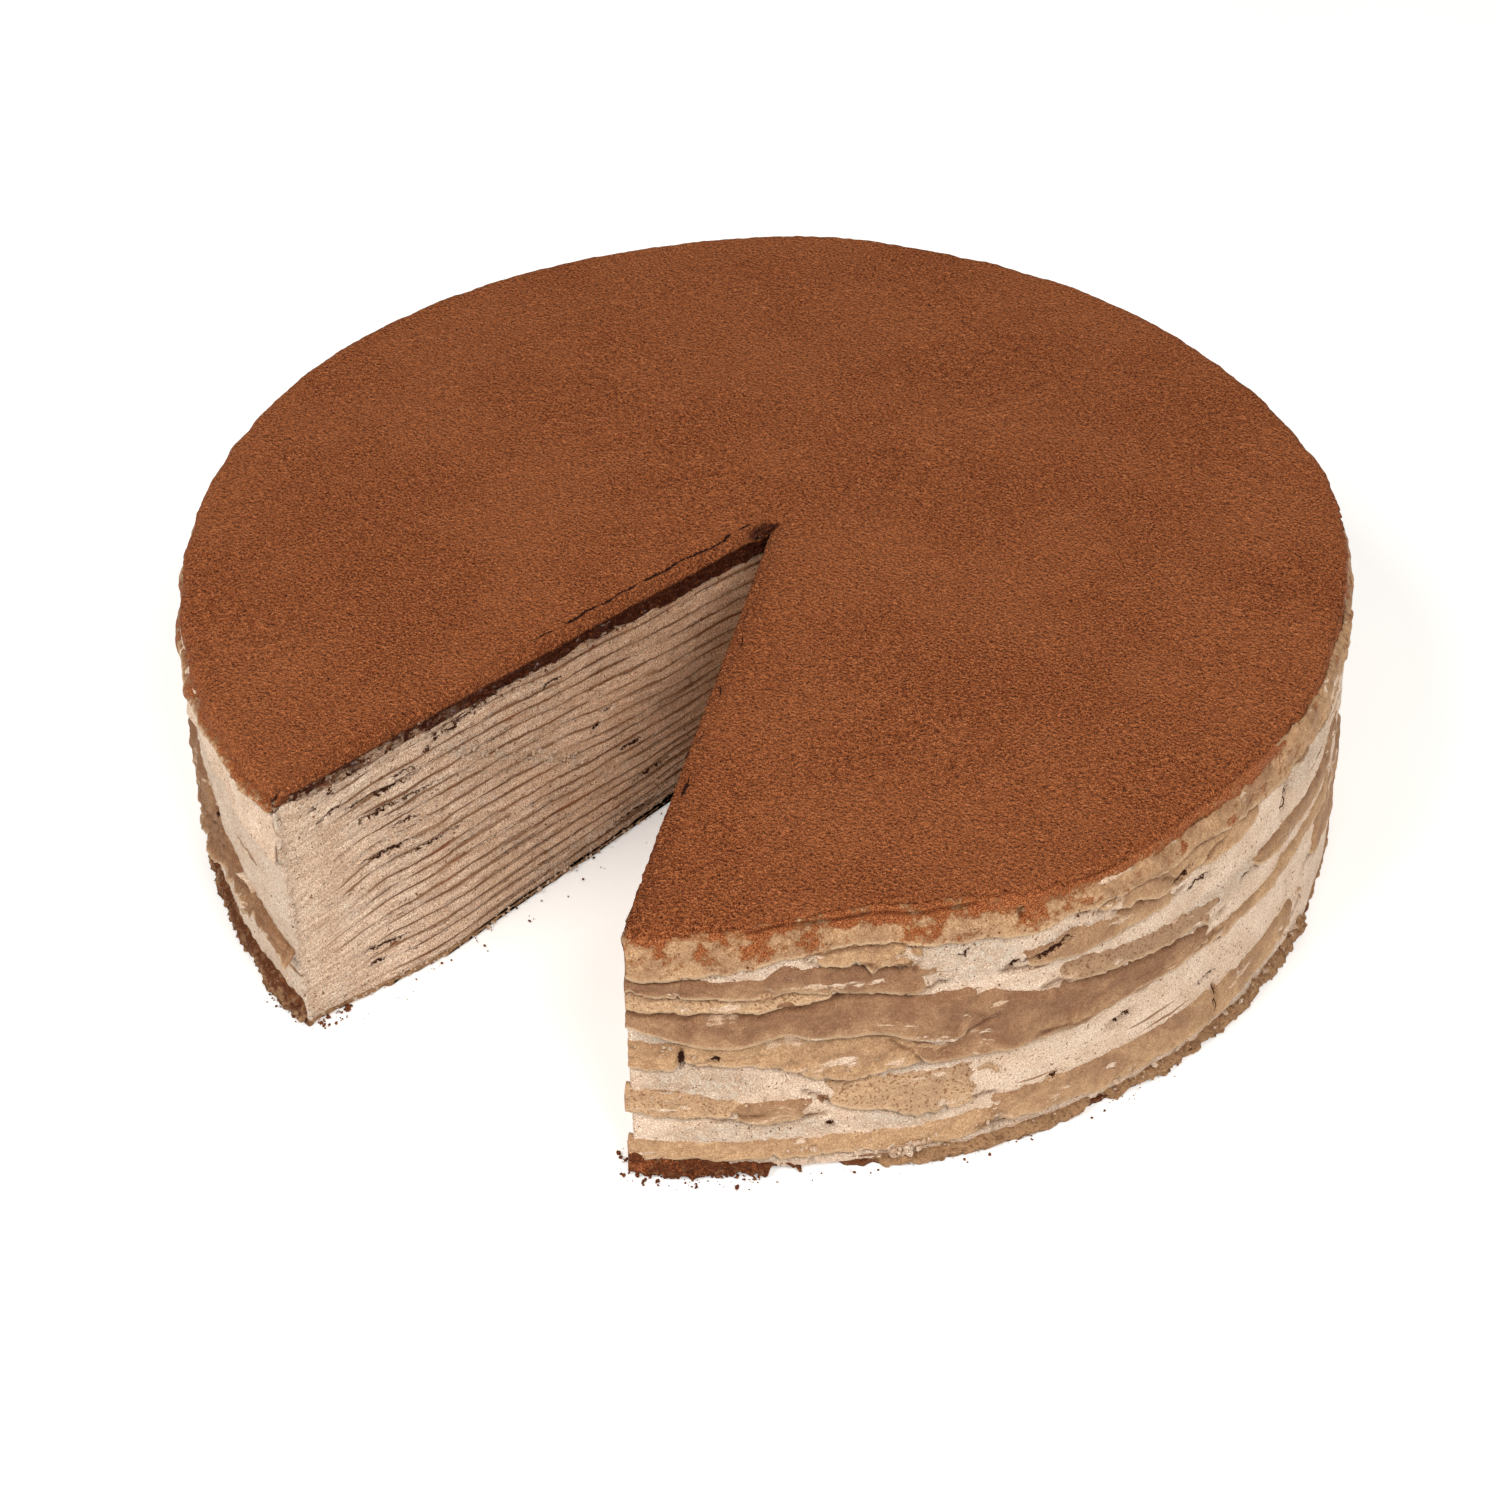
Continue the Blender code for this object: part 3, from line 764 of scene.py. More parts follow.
def leaf_lines(top, hem, fray, seed, degrees, s):
    """Upper and lower edge of a leaf at these places."""
    top_z = line_through(top, degrees) + (0.3 + 0.5 * fray) * hills(s / 3, s * 0, seed, 3)
    jag = hills(s / 4.5, s * 0, seed + 1, 3) + 0.6 * np.abs(hills(s / 1.5, s * 0, seed + 2, 2))
    tears = 2.4 * pits(s / 5.5, s * 0 + 0.5, seed + 6, 0.5, 0.19)
    hem_z = np.minimum(line_through(hem, degrees) + fray * (jag + tears), top_z - 0.5)
    return top_z, hem_z


def skirt_hem(s, degrees):
    return line_through(SKIRT_HEM, degrees) + 0.5 * hills(s / 4, s * 0, 101, 2) + 0.35 * np.abs(hills(s / 1.6, s * 0, 103))


def all_leaves():
    """The leaves of every crepe, by its number."""
    found = {1: list(BASE_LEAVES)}
    for number in range(2, CREPES + 1):
        found[number] = list(FRONT_LEAVES.get(number, []))
        if number > 2:
            found[number] += back_leaves(number, LINES[number - 1][BACK_COLUMN])
    return found


LEAVES = all_leaves()
HEMS = {101: (RIGHT_CORNER, LEFT_CORNER, skirt_hem(S, np.degrees(THETA)))}
for leaves in LEAVES.values():
    for values in leaves:
        start = s_at(max(values["top"][0][0], values["hem"][0][0]))
        end = s_at(min(values["top"][-1][0], values["hem"][-1][0]))
        lines = leaf_lines(values["top"], values["hem"], values["fray"], values["seed"], np.degrees(THETA), S)
        HEMS[values["seed"]] = (start, end, lines[1])
print(len(HEMS), "hems")


def under_hem(s, z, own=None):
    """1 in the crease just below another leaf's hem, 0 away from it; the crease is pressed in and also painted with
    shade.
    """
    crease = np.zeros(s.shape)
    for seed, (start, end, hem) in HEMS.items():
        if seed == own or hem.min() > z.max() + 1.5 or hem.max() < z.min() - 0.5:
            continue
        below = np.interp(s, S, hem) - z
        ends = smooth((s - start) / 1.5 + 0.5) * smooth((end - s) / 1.5 + 0.5)
        crease = np.maximum(crease, ends * smooth(1.0 - np.abs(below - 0.3) / 0.75))
    return crease


# %% [markdown]
# ## Shared effects for the finishes
# Cocoa dust, the browned lace of a crepe and the fine grain of cream turn up on several layers.
# Each is a node group that gives out a mask or a height, so that every finish can use it with its
# own strength.

# %% Node helpers


def node(tree, kind, **settings):
    made = tree.nodes.new(kind)
    for key, value in settings.items():
        setattr(made, key, value)
    return made


def feed(tree, target, value):
    """Sets a socket to a number or a colour, or links it to another socket."""
    if isinstance(value, bpy.types.NodeSocket):
        tree.links.new(value, target)
    else:
        target.default_value = value


def math_node(tree, operation, first, second=0.0, third=0.0, clamp=False):
    made = node(tree, "ShaderNodeMath", operation=operation, use_clamp=clamp)
    for target, value in zip(made.inputs, (first, second, third)):
        feed(tree, target, value)
    return made.outputs[0]


def mix_colour(tree, share, first, second):
    made = node(tree, "ShaderNodeMix", data_type="RGBA")
    feed(tree, made.inputs["Factor"], share)
    for target, value in ((made.inputs[6], first), (made.inputs[7], second)):
        feed(tree, target, value if isinstance(value, bpy.types.NodeSocket) else (*value, 1.0))
    return made.outputs[2]


def ramp(tree, value, low, high, out_low=0.0, out_high=1.0):
    """Maps low..high to 0..1 with soft ends."""
    made = node(tree, "ShaderNodeMapRange", interpolation_type="SMOOTHSTEP")
    for target, number in zip(made.inputs, (value, low, high, out_low, out_high)):
        feed(tree, target, number)
    return made.outputs["Result"]


WARM_DARK = (0.62, 0.48, 0.38)
PALE_LIGHT = (1.38, 1.44, 1.48)


def vary(tree, colour, value, strength):
    """Makes a colour darker and warmer, or paler, as the value runs from 0 to 1; strength is 0 to 1."""
    made = node(tree, "ShaderNodeMix", data_type="RGBA", blend_type="MULTIPLY")
    feed(tree, made.inputs["Factor"], strength)
    tree.links.new(colour, made.inputs[6])
    tree.links.new(mix_colour(tree, value, WARM_DARK, PALE_LIGHT), made.inputs[7])
    return made.outputs[2]


def stain_and_shade(tree, colour, amount, tint):
    """Darkens a colour towards colour times tint, so that it keeps its warmth; used for real stains and for painted
    shade.
    """
    made = node(tree, "ShaderNodeMix", data_type="RGBA", blend_type="MULTIPLY")
    feed(tree, made.inputs["Factor"], amount)
    tree.links.new(colour, made.inputs[6])
    made.inputs[7].default_value = (*tint, 1.0)
    return made.outputs[2]


def stored(tree, name):
    """A number stored on the mesh's points."""
    return node(tree, "ShaderNodeAttribute", attribute_name=name).outputs["Fac"]


def speckle(tree, size, detail=2.0, stretch=(1.0, 1.0, 1.0), rough=0.5):
    """Random cloudiness; size is the width of a cloud in millimetres."""
    place = node(tree, "ShaderNodeTexCoord").outputs["Object"]
    spread = node(tree, "ShaderNodeMapping")
    tree.links.new(place, spread.inputs["Vector"])
    spread.inputs["Scale"].default_value = [1.0 / (MM * size * part) for part in stretch]
    noise = node(tree, "ShaderNodeTexNoise")
    noise.inputs["Scale"].default_value = 1.0
    noise.inputs["Detail"].default_value = detail
    noise.inputs["Roughness"].default_value = rough
    tree.links.new(spread.outputs["Vector"], noise.inputs["Vector"])
    return noise.outputs["Fac"]


def new_group(name, inputs, outputs):
    """An empty node group with named float inputs and outputs."""
    group = bpy.data.node_groups.new(name, "ShaderNodeTree")
    for label, default in inputs.items():
        made = group.interface.new_socket(label, in_out="INPUT", socket_type="NodeSocketFloat")
        made.default_value = default
    for label in outputs:
        group.interface.new_socket(label, in_out="OUTPUT", socket_type="NodeSocketFloat")
    source = group.nodes.new("NodeGroupInput")
    sink = group.nodes.new("NodeGroupOutput")
    return group, source.outputs, sink.inputs


def use_group(tree, group, **values):
    made = node(tree, "ShaderNodeGroup", node_tree=group)
    for label, value in values.items():
        feed(tree, made.inputs[label.capitalize()], value)
    return made.outputs


def new_finish(name, roughness, bump_strength, distance):
    """A material with a Bump node ready; returns the tree, the shader and the bump's height."""
    material = bpy.data.materials.new(name)
    material.use_nodes = True
    tree = material.node_tree
    shader = tree.nodes["Principled BSDF"]
    shader.inputs["Roughness"].default_value = roughness
    bump = node(tree, "ShaderNodeBump")
    bump.inputs["Strength"].default_value = bump_strength
    bump.inputs["Distance"].default_value = distance * MM
    tree.links.new(bump.outputs["Normal"], shader.inputs["Normal"])
    return material, tree, shader, bump.inputs["Height"]


# %% Powder group: the grain of sifted cocoa


def make_powder_group():
    group, _, sink = new_group("powder_grain", {}, ["Grain", "Lumps", "Holes", "Drift"])
    fine = speckle(group, 0.26, 1.0, rough=0.7)
    clumps = speckle(group, 0.62, 1.0)
    group.links.new(clumps, sink["Lumps"])
    both = math_node(group, "MULTIPLY_ADD", fine, 0.7, math_node(group, "MULTIPLY", clumps, 0.3))
    group.links.new(ramp(group, both, 0.34, 0.66), sink["Grain"])
    # Holes are the dips between clumps; the finish paints them dark as shade in them.
    dips = math_node(group, "MULTIPLY", ramp(group, clumps, 0.41, 0.33), ramp(group, fine, 0.50, 0.38))
    group.links.new(dips, sink["Holes"])
    group.links.new(speckle(group, 24.0, 1.0), sink["Drift"])
    return group


# %% Dust group: cocoa that fell on a crepe or on cream


def make_dust_group():
    group, source, sink = new_group("cocoa_dust", {"Amount": 0.0}, ["Mask"])
    spots = math_node(group, "SUBTRACT", speckle(group, 1.4, 5.0, rough=0.8), 0.5)
    over = math_node(group, "MULTIPLY_ADD", spots, 2.6, math_node(group, "SUBTRACT", source["Amount"], 0.5))
    group.links.new(ramp(group, over, -0.26, 0.48), sink["Mask"])
    return group


# %% Food group: grain, browned mottling and pores at four sizes


def make_food_group():
    group, _, sink = new_group("food_grain", {}, ["Grain", "Pores", "Mottle", "Clouds", "Freckles"])
    group.links.new(ramp(group, speckle(group, 0.26, 2.0, rough=0.75), 0.38, 0.62), sink["Grain"])
    spots = speckle(group, 0.55, 1.0, rough=0.45)
    group.links.new(ramp(group, spots, 0.42, 0.32), sink["Pores"])
    group.links.new(ramp(group, speckle(group, 0.33, 1.0, rough=0.4), 0.40, 0.32), sink["Freckles"])
    group.links.new(ramp(group, speckle(group, 1.5, 2.0, rough=0.65), 0.30, 0.70), sink["Mottle"])
    group.links.new(ramp(group, speckle(group, 6.0, 1.0), 0.32, 0.68), sink["Clouds"])
    return group


# %% Drag group: streaks and thin slits that a knife leaves along the layers


def stretched(group, source, along, across, detail):
    place = node(group, "ShaderNodeCombineXYZ")
    feed(group, place.inputs[0], math_node(group, "MULTIPLY", source["Along"], along))
    feed(group, place.inputs[1], math_node(group, "MULTIPLY", source["Across"], across))
    noise = node(group, "ShaderNodeTexNoise", noise_dimensions="2D")
    noise.inputs["Scale"].default_value = 1.0
    noise.inputs["Detail"].default_value = detail
    noise.inputs["Roughness"].default_value = 0.6
    group.links.new(place.outputs[0], noise.inputs["Vector"])
    return noise.outputs["Fac"]


def make_drag_group():
    group, source, sink = new_group("knife_drag", {"Along": 0.0, "Across": 0.0, "Lines": 0.0}, ["Drag", "Slits", "Lips", "Smears"])
    group.links.new(ramp(group, stretched(group, source, 0.16, 1.1, 4.0), 0.32, 0.68), sink["Drag"])
    group.links.new(ramp(group, stretched(group, source, 0.085, 0.26, 6.0), 0.615, 0.66), sink["Smears"])
    torn = stretched(group, source, 0.42, 2.1, 2.0)
    place = ramp(group, stretched(group, source, 0.055, 0.33, 1.0), 0.42, 0.66, 0.12, 0.0)
    torn = math_node(group, "MULTIPLY_ADD", source["Lines"], 0.13, math_node(group, "SUBTRACT", torn, place))
    group.links.new(ramp(group, torn, 0.66, 0.70), sink["Slits"])
    group.links.new(ramp(group, torn, 0.54, 0.66), sink["Lips"])
    return group


# %% Tear group: crisp slits painted dark as shade inside them, with a rim of painted shade and pale lips, from the distances stored on the wall


def make_tear_group():
    group, source, sink = new_group("tear", {"Offset": 9.0, "Half": -1.0, "Ragged": 0.5, "Fine": 0.5}, ["Slit", "Edge", "Lip"])
    waved = math_node(group, "MULTIPLY_ADD", source["Ragged"], 0.9, math_node(group, "SUBTRACT", source["Offset"], 0.45))
    inside = math_node(group, "SUBTRACT", source["Half"], math_node(group, "ABSOLUTE", waved))
    inside = math_node(group, "MULTIPLY_ADD", source["Fine"], 0.3, math_node(group, "SUBTRACT", inside, 0.15))
    group.links.new(ramp(group, inside, -0.06, 0.10), sink["Slit"])
    group.links.new(ramp(group, inside, -0.20, 0.0), sink["Edge"])
    group.links.new(ramp(group, inside, -0.42, -0.16), sink["Lip"])
    return group


powder_group = make_powder_group()
dust_group = make_dust_group()
food_group = make_food_group()
drag_group = make_drag_group()
tear_group = make_tear_group()


def use_tears(tree, food):
    return use_group(tree, tear_group, offset=stored(tree, "offset"), half=stored(tree, "half"),
                     ragged=food["Mottle"], fine=food["Grain"])


print("node groups:", [group.name for group in bpy.data.node_groups])

# %% [markdown]
# ## The finishes
# Colours are kept a little greyer and less red than one remembers chocolate, because the cream
# and the crepes are pale milk-chocolate brown and only the powder is a warm red-brown.

# %% Colours


def srgb(red, green, blue):
    """A colour given as it looks on a screen, 0 to 255, as the shader's linear values."""
    parts = np.array([red, green, blue]) / 255.0
    return tuple(np.where(parts < 0.04045, parts / 12.92, ((parts + 0.055) / 1.055) ** 2.4))


COCOA = srgb(163, 88, 45)
COCOA_LIGHT = srgb(196, 120, 74)
COCOA_DARK = srgb(106, 49, 22)
COCOA_HOLE_SHADE = srgb(52, 22, 10)
CHOCOLATE_DARK = srgb(66, 27, 12)
CHOCOLATE_MID = srgb(106, 50, 24)
CREAM_PINK = srgb(247, 223, 200)
CREAM_TAN = srgb(227, 194, 164)
# Cream darker towards the slice's point: partly painted shade of the narrow gap, partly moister cream.
CREAM_GAP_SHADE = srgb(212, 162, 120)
CREAM_WHITE = srgb(254, 240, 222)
CREAM_BAND = srgb(138, 98, 70)
# Painted shade: the inside of slits, and the tint for holes and for creases under hems.
SLIT_SHADE = srgb(60, 28, 12)
SHADED = (0.24, 0.13, 0.07)
FRECKLED = (0.60, 0.40, 0.27)
CREPE_GREY = srgb(154, 115, 86)
CREPE_TAN = srgb(204, 165, 126)
CREPE_LIP = srgb(240, 206, 168)
CREPE_RUST = srgb(150, 92, 58)
LACE_BROWN = srgb(132, 82, 46)
BASE_BROWN = srgb(150, 90, 52)
BASE_LIGHT = srgb(204, 158, 116)
BASE_DARK = srgb(98, 52, 28)

# %% Cocoa powder


def powder_colour(tree, grain):
    colour = mix_colour(tree, ramp(tree, grain, 0.0, 0.6), COCOA_DARK, COCOA)
    return mix_colour(tree, ramp(tree, grain, 0.5, 1.0), colour, COCOA_LIGHT)


def dusted(tree, colour, dust, grain):
    """Thin powder only stains what it lies on; thick powder hides it."""
    stained = stain_and_shade(tree, colour, ramp(tree, dust, 0.0, 0.7), (0.60, 0.42, 0.30))
    return mix_colour(tree, ramp(tree, dust, 0.5, 1.1), stained, powder_colour(tree, grain))


def make_cocoa_finish():
    material, tree, shader, height = new_finish("cocoa_powder", 0.95, 1.0, 0.27)
    powder = use_group(tree, powder_group)
    colour = powder_colour(tree, powder["Grain"])
    drift = math_node(tree, "MULTIPLY", ramp(tree, powder["Drift"], 0.35, 0.7), 0.22)
    colour = mix_colour(tree, drift, colour, COCOA_LIGHT)
    # Pin holes in the powder are painted dark as shade in them.
    colour = mix_colour(tree, math_node(tree, "MULTIPLY", powder["Holes"], 0.85), colour, COCOA_HOLE_SHADE)
    # Thin veins and cracks in the brittle crust near the cuts, and the split seam, are painted dark as shade inside
    # them.
    veins = ramp(tree, math_node(tree, "ABSOLUTE", math_node(tree, "SUBTRACT", powder["Lumps"], 0.5)), 0.04, 0.01)
    veins = math_node(tree, "MULTIPLY", veins, stored(tree, "brittle"))
    wide = math_node(tree, "MULTIPLY", stored(tree, "split"), ramp(tree, powder["Lumps"], 0.3, 0.6, 0.12, 0.42))
    seam = math_node(tree, "SUBTRACT", wide, math_node(tree, "ABSOLUTE", stored(tree, "seam")))
    veins = math_node(tree, "MAXIMUM", veins, ramp(tree, seam, -0.06, 0.06))
    dark = math_node(tree, "MAXIMUM", veins, stored(tree, "crack"))
    colour = mix_colour(tree, dark, colour, COCOA_HOLE_SHADE)
    feed(tree, shader.inputs["Base Color"], colour)
    feed(tree, height, math_node(tree, "MULTIPLY_ADD", powder["Lumps"], 6.5, powder["Grain"]))
    shader.inputs["Specular IOR Level"].default_value = 0.15
    return material


# %% Moist chocolate crepe


def make_chocolate_finish():
    material, tree, shader, height = new_finish("moist_chocolate", 0.5, 1.0, 0.35)
    food = use_group(tree, food_group)
    dust = use_group(tree, dust_group, amount=stored(tree, "dust"))["Mask"]
    colour = mix_colour(tree, food["Grain"], CHOCOLATE_DARK, CHOCOLATE_MID)
    pale = math_node(tree, "MULTIPLY", stored(tree, "pale"), ramp(tree, food["Mottle"], 0.15, 0.5))
    colour = mix_colour(tree, pale, colour, CREAM_TAN)
    grit = math_node(tree, "MULTIPLY", food["Freckles"], ramp(tree, food["Mottle"], 0.35, 0.65))
    colour = mix_colour(tree, grit, colour, COCOA)
    colour = dusted(tree, colour, dust, food["Grain"])
    feed(tree, shader.inputs["Base Color"], colour)
    feed(tree, shader.inputs["Roughness"], ramp(tree, food["Mottle"], 0.2, 0.8, 0.36, 0.7))
    feed(tree, height, math_node(tree, "MULTIPLY_ADD", food["Mottle"], 1.8, food["Grain"]))
    shader.inputs["Specular IOR Level"].default_value = 0.15
    shader.inputs["Coat Roughness"].default_value = 0.22
    feed(tree, shader.inputs["Coat Weight"], ramp(tree, food["Mottle"], 0.5, 0.8, 0.0, 0.35))
    return material


# %% Crepe


def make_crepe_finish():
    material, tree, shader, height = new_finish("crepe", 0.62, 0.8, 0.2)
    food = use_group(tree, food_group)
    drag = use_group(tree, drag_group, along=stored(tree, "along"), across=stored(tree, "across"))
    dust = use_group(tree, dust_group, amount=stored(tree, "dust"))["Mask"]
    cut, laced = stored(tree, "cut"), stored(tree, "lace")
    tone = math_node(tree, "ADD", stored(tree, "tone"),
                     math_node(tree, "MULTIPLY_ADD", food["Clouds"], 0.5, -0.25), clamp=True)
    colour = mix_colour(tree, tone, CREPE_GREY, CREPE_TAN)
    band = mix_colour(tree, ramp(tree, food["Clouds"], 0.5, 1.0), CREAM_BAND, CREPE_RUST)
    colour = mix_colour(tree, cut, colour, band)
    colour = vary(tree, colour, food["Mottle"], 0.30)
    colour = vary(tree, colour, food["Grain"], math_node(tree, "MULTIPLY_ADD", laced, 0.30, 0.46))
    colour = mix_colour(tree, math_node(tree, "MULTIPLY", food["Freckles"], 0.30), colour, LACE_BROWN)
    spots = math_node(tree, "MULTIPLY", food["Pores"], math_node(tree, "MULTIPLY_ADD", laced, 0.45, 0.10))
    colour = mix_colour(tree, spots, colour, LACE_BROWN)
    net = math_node(tree, "MULTIPLY", ramp(tree, food["Pores"], 0.3, 0.0), math_node(tree, "MULTIPLY", laced, 0.3))
    colour = mix_colour(tree, net, colour, CREPE_LIP)
    colour = mix_colour(tree, math_node(tree, "MULTIPLY", stored(tree, "hem"), 0.7), colour, CREPE_LIP)
    smears = math_node(tree, "MULTIPLY", drag["Smears"], math_node(tree, "SUBTRACT", 1.0, cut))
    creamy = vary(tree, mix_colour(tree, food["Clouds"], CREAM_PINK, CREAM_TAN), food["Grain"], 0.6)
    colour = mix_colour(tree, math_node(tree, "MULTIPLY", smears, 0.85), colour, creamy)
    tear = use_tears(tree, food)
    colour = mix_colour(tree, math_node(tree, "MULTIPLY", tear["Lip"], 0.5), colour, CREPE_LIP)
    colour = dusted(tree, colour, dust, food["Grain"])
    # Slits are painted nearly black, the rim of each tear darker, and holes and creases under hems browner: all painted
    # shade.
    slits = math_node(tree, "MULTIPLY_ADD", drag["Slits"], cut, tear["Slit"], clamp=True)
    colour = stain_and_shade(tree, colour, tear["Edge"], (0.36, 0.20, 0.11))
    colour = mix_colour(tree, slits, colour, SLIT_SHADE)
    colour = stain_and_shade(tree, colour, stored(tree, "pit"), SHADED)
    shader.inputs["Specular IOR Level"].default_value = 0.12
    feed(tree, shader.inputs["Base Color"], colour)
    feed(tree, shader.inputs["Roughness"], ramp(tree, food["Mottle"], 0.0, 1.0, 0.5, 0.75))
    relief = math_node(tree, "MULTIPLY_ADD", spots, -1.2, math_node(tree, "MULTIPLY", food["Grain"], 0.9))
    relief = math_node(tree, "MULTIPLY_ADD", food["Mottle"], 2.6, relief)
    relief = math_node(tree, "MULTIPLY_ADD", smears, 1.2, relief)
    feed(tree, height, math_node(tree, "MULTIPLY_ADD", slits, -0.7, relief))
    return material


# %% Cream


def make_cream_finish():
    material, tree, shader, height = new_finish("cream", 0.55, 0.9, 0.22)
    food = use_group(tree, food_group)
    drag = use_group(tree, drag_group, along=stored(tree, "along"), across=stored(tree, "across"),
                     lines=stored(tree, "near"))
    dust = use_group(tree, dust_group, amount=stored(tree, "dust"))["Mask"]
    rough, cut = stored(tree, "rough"), stored(tree, "cut")
    tan = math_node(tree, "MULTIPLY_ADD", food["Clouds"], 0.5, stored(tree, "tone"), clamp=True)
    colour = mix_colour(tree, tan, CREAM_PINK, CREAM_TAN)
    # Darker towards the slice's point on a cut: partly painted shade of the narrow gap, partly moister cream.
    colour = mix_colour(tree, stored(tree, "aged"), colour, CREAM_GAP_SHADE)
    colour = vary(tree, colour, food["Grain"], math_node(tree, "MULTIPLY_ADD", cut, 0.22, 0.55))
    freckles = math_node(tree, "MULTIPLY", food["Freckles"], math_node(tree, "MULTIPLY_ADD", cut, 0.35, 0.5))
    colour = stain_and_shade(tree, colour, freckles, FRECKLED)
    colour = vary(tree, colour, drag["Drag"], math_node(tree, "MULTIPLY_ADD", cut, 0.30, 0.06))
    flakes = math_node(tree, "MULTIPLY", ramp(tree, food["Mottle"], 0.55, 0.85), math_node(tree, "MULTIPLY", rough, 0.5))
    colour = mix_colour(tree, flakes, colour, CREAM_WHITE)
    near = math_node(tree, "MULTIPLY", stored(tree, "near"), ramp(tree, food["Mottle"], 0.0, 0.8, 0.45, 1.0))
    near = math_node(tree, "MULTIPLY", near, ramp(tree, food["Grain"], 0.0, 1.0, 0.95, 0.6))
    colour = mix_colour(tree, math_node(tree, "MULTIPLY", near, 0.95), colour, CREAM_BAND)
    tear = use_tears(tree, food)
    lips = math_node(tree, "MAXIMUM", math_node(tree, "MULTIPLY", drag["Lips"], cut), tear["Lip"])
    colour = mix_colour(tree, math_node(tree, "MULTIPLY", lips, 0.5), colour, CREAM_WHITE)
    slits = math_node(tree, "MULTIPLY_ADD", drag["Slits"], cut, tear["Slit"], clamp=True)
    # Torn edges, knife slits and pin holes get painted shade, and the slits are painted nearly black as shade inside
    # them.
    torn = math_node(tree, "MAXIMUM", tear["Edge"], math_node(tree, "MULTIPLY", drag["Slits"], cut))
    bubbles = math_node(tree, "MULTIPLY", ramp(tree, food["Pores"], 0.55, 0.85), ramp(tree, food["Mottle"], 0.60, 0.78))
    colour = stain_and_shade(tree, colour, math_node(tree, "MAXIMUM", torn, bubbles), (0.36, 0.20, 0.11))
    colour = mix_colour(tree, tear["Slit"], colour, SLIT_SHADE)
    shader.inputs["Specular IOR Level"].default_value = 0.12
    # Holes and the creases under hems get painted shade.
    colour = stain_and_shade(tree, colour, stored(tree, "pit"), SHADED)
    colour = dusted(tree, colour, dust, food["Grain"])
    feed(tree, shader.inputs["Base Color"], colour)
    feed(tree, shader.inputs["Roughness"], ramp(tree, food["Grain"], 0.0, 1.0, 0.45, 0.75))
    relief = math_node(tree, "MULTIPLY", food["Grain"], math_node(tree, "MULTIPLY_ADD", rough, 0.9, 0.7))
    relief = math_node(tree, "MULTIPLY_ADD", food["Mottle"], math_node(tree, "MULTIPLY_ADD", rough, 1.5, 0.9), relief)
    relief = math_node(tree, "MULTIPLY_ADD", drag["Drag"], math_node(tree, "MULTIPLY_ADD", cut, 1.0, 0.15), relief)
    relief = math_node(tree, "MULTIPLY_ADD", slits, -0.8, relief)
    feed(tree, height, math_node(tree, "MULTIPLY_ADD", bubbles, -0.5, relief))
    return material


# %% Base crepe


def make_base_finish():
    material, tree, shader, height = new_finish("base_crepe", 0.75, 0.9, 0.4)
    food = use_group(tree, food_group)
    colour = mix_colour(tree, food["Grain"], BASE_DARK, BASE_BROWN)
    tone = math_node(tree, "MULTIPLY_ADD", stored(tree, "tone"), 1.7,
                     math_node(tree, "MULTIPLY_ADD", food["Mottle"], 1.0, -0.9), clamp=True)
    colour = mix_colour(tree, tone, colour, BASE_LIGHT)
    colour = mix_colour(tree, math_node(tree, "MULTIPLY", food["Pores"], 0.5), colour, BASE_DARK)
    dust = use_group(tree, dust_group, amount=stored(tree, "dust"))["Mask"]
    colour = dusted(tree, colour, dust, food["Grain"])
    feed(tree, shader.inputs["Base Color"], colour)
    feed(tree, shader.inputs["Roughness"], ramp(tree, food["Grain"], 0.0, 1.0, 0.6, 0.9))
    feed(tree, height, math_node(tree, "MULTIPLY_ADD", food["Pores"], -0.6, food["Grain"]))
    shader.inputs["Specular IOR Level"].default_value = 0.15
    return material


cocoa_finish = make_cocoa_finish()
chocolate_finish = make_chocolate_finish()
crepe_finish = make_crepe_finish()
cream_finish = make_cream_finish()
base_finish = make_base_finish()

# %% Table


def make_table():
    material, tree, shader, height = new_finish("pale_table", 0.6, 0.05, 0.2)
    cloud = speckle(tree, 60.0, 0.0)
    feed(tree, shader.inputs["Base Color"], mix_colour(tree, cloud, srgb(246, 246, 245), srgb(250, 250, 249)))
    feed(tree, height, cloud)
    shader.inputs["Emission Color"].default_value = (1.0, 1.0, 0.985, 1.0)
    shader.inputs["Emission Strength"].default_value = 0.28
    bpy.ops.mesh.primitive_plane_add(size=6.0, location=(0.0, 0.0, -0.0002))
    floor = bpy.context.object
    floor.name = "table"
    floor.data.materials.append(material)


make_table()

# %% [markdown]
# ## Cream
# Each cream is soft and bulges a little between its crepes. Four bands of quads are enough for
# that bulge; the push of the wall adds the smears, the torn patches and the holes.

# %% Cream layers
CREAM_ROWS = 4


def line_strength(s, number):
    """How dark a crepe's line looks on a cut: faint near the rim, and broken up further in."""
    d = from_rim(s)
    broken = 0.70 + 0.75 * hills(s / 11, s * 0 + 5.1 * number, 89, 2)
    own = 0.45 + 0.55 * shuffle(np.array(number * 1.0), np.array(3.0), 97)
    own = own + (1.0 - own) * smooth((d - 30) / 30)
    return cut_share(s) * own * np.clip(broken, 0.1, 1.0) * (0.24 + 0.76 * smooth((d - 4) / 20))


def band_width(s, number):
    """How far the brown of a crepe spreads into the cream beside it."""
    return 0.85 + 0.55 * hills(s / 17, s * 0 + 2.3 * number, 199)


def hole_and_crease_shade(s, z):
    """Painted shade, 0 to 1, inside holes and slits and in the crease just below another leaf's hem."""
    return np.clip(0.35 * smooth(slit_depth(s, z) / 1.3) + 0.8 * under_hem(s, z), 0, 1)


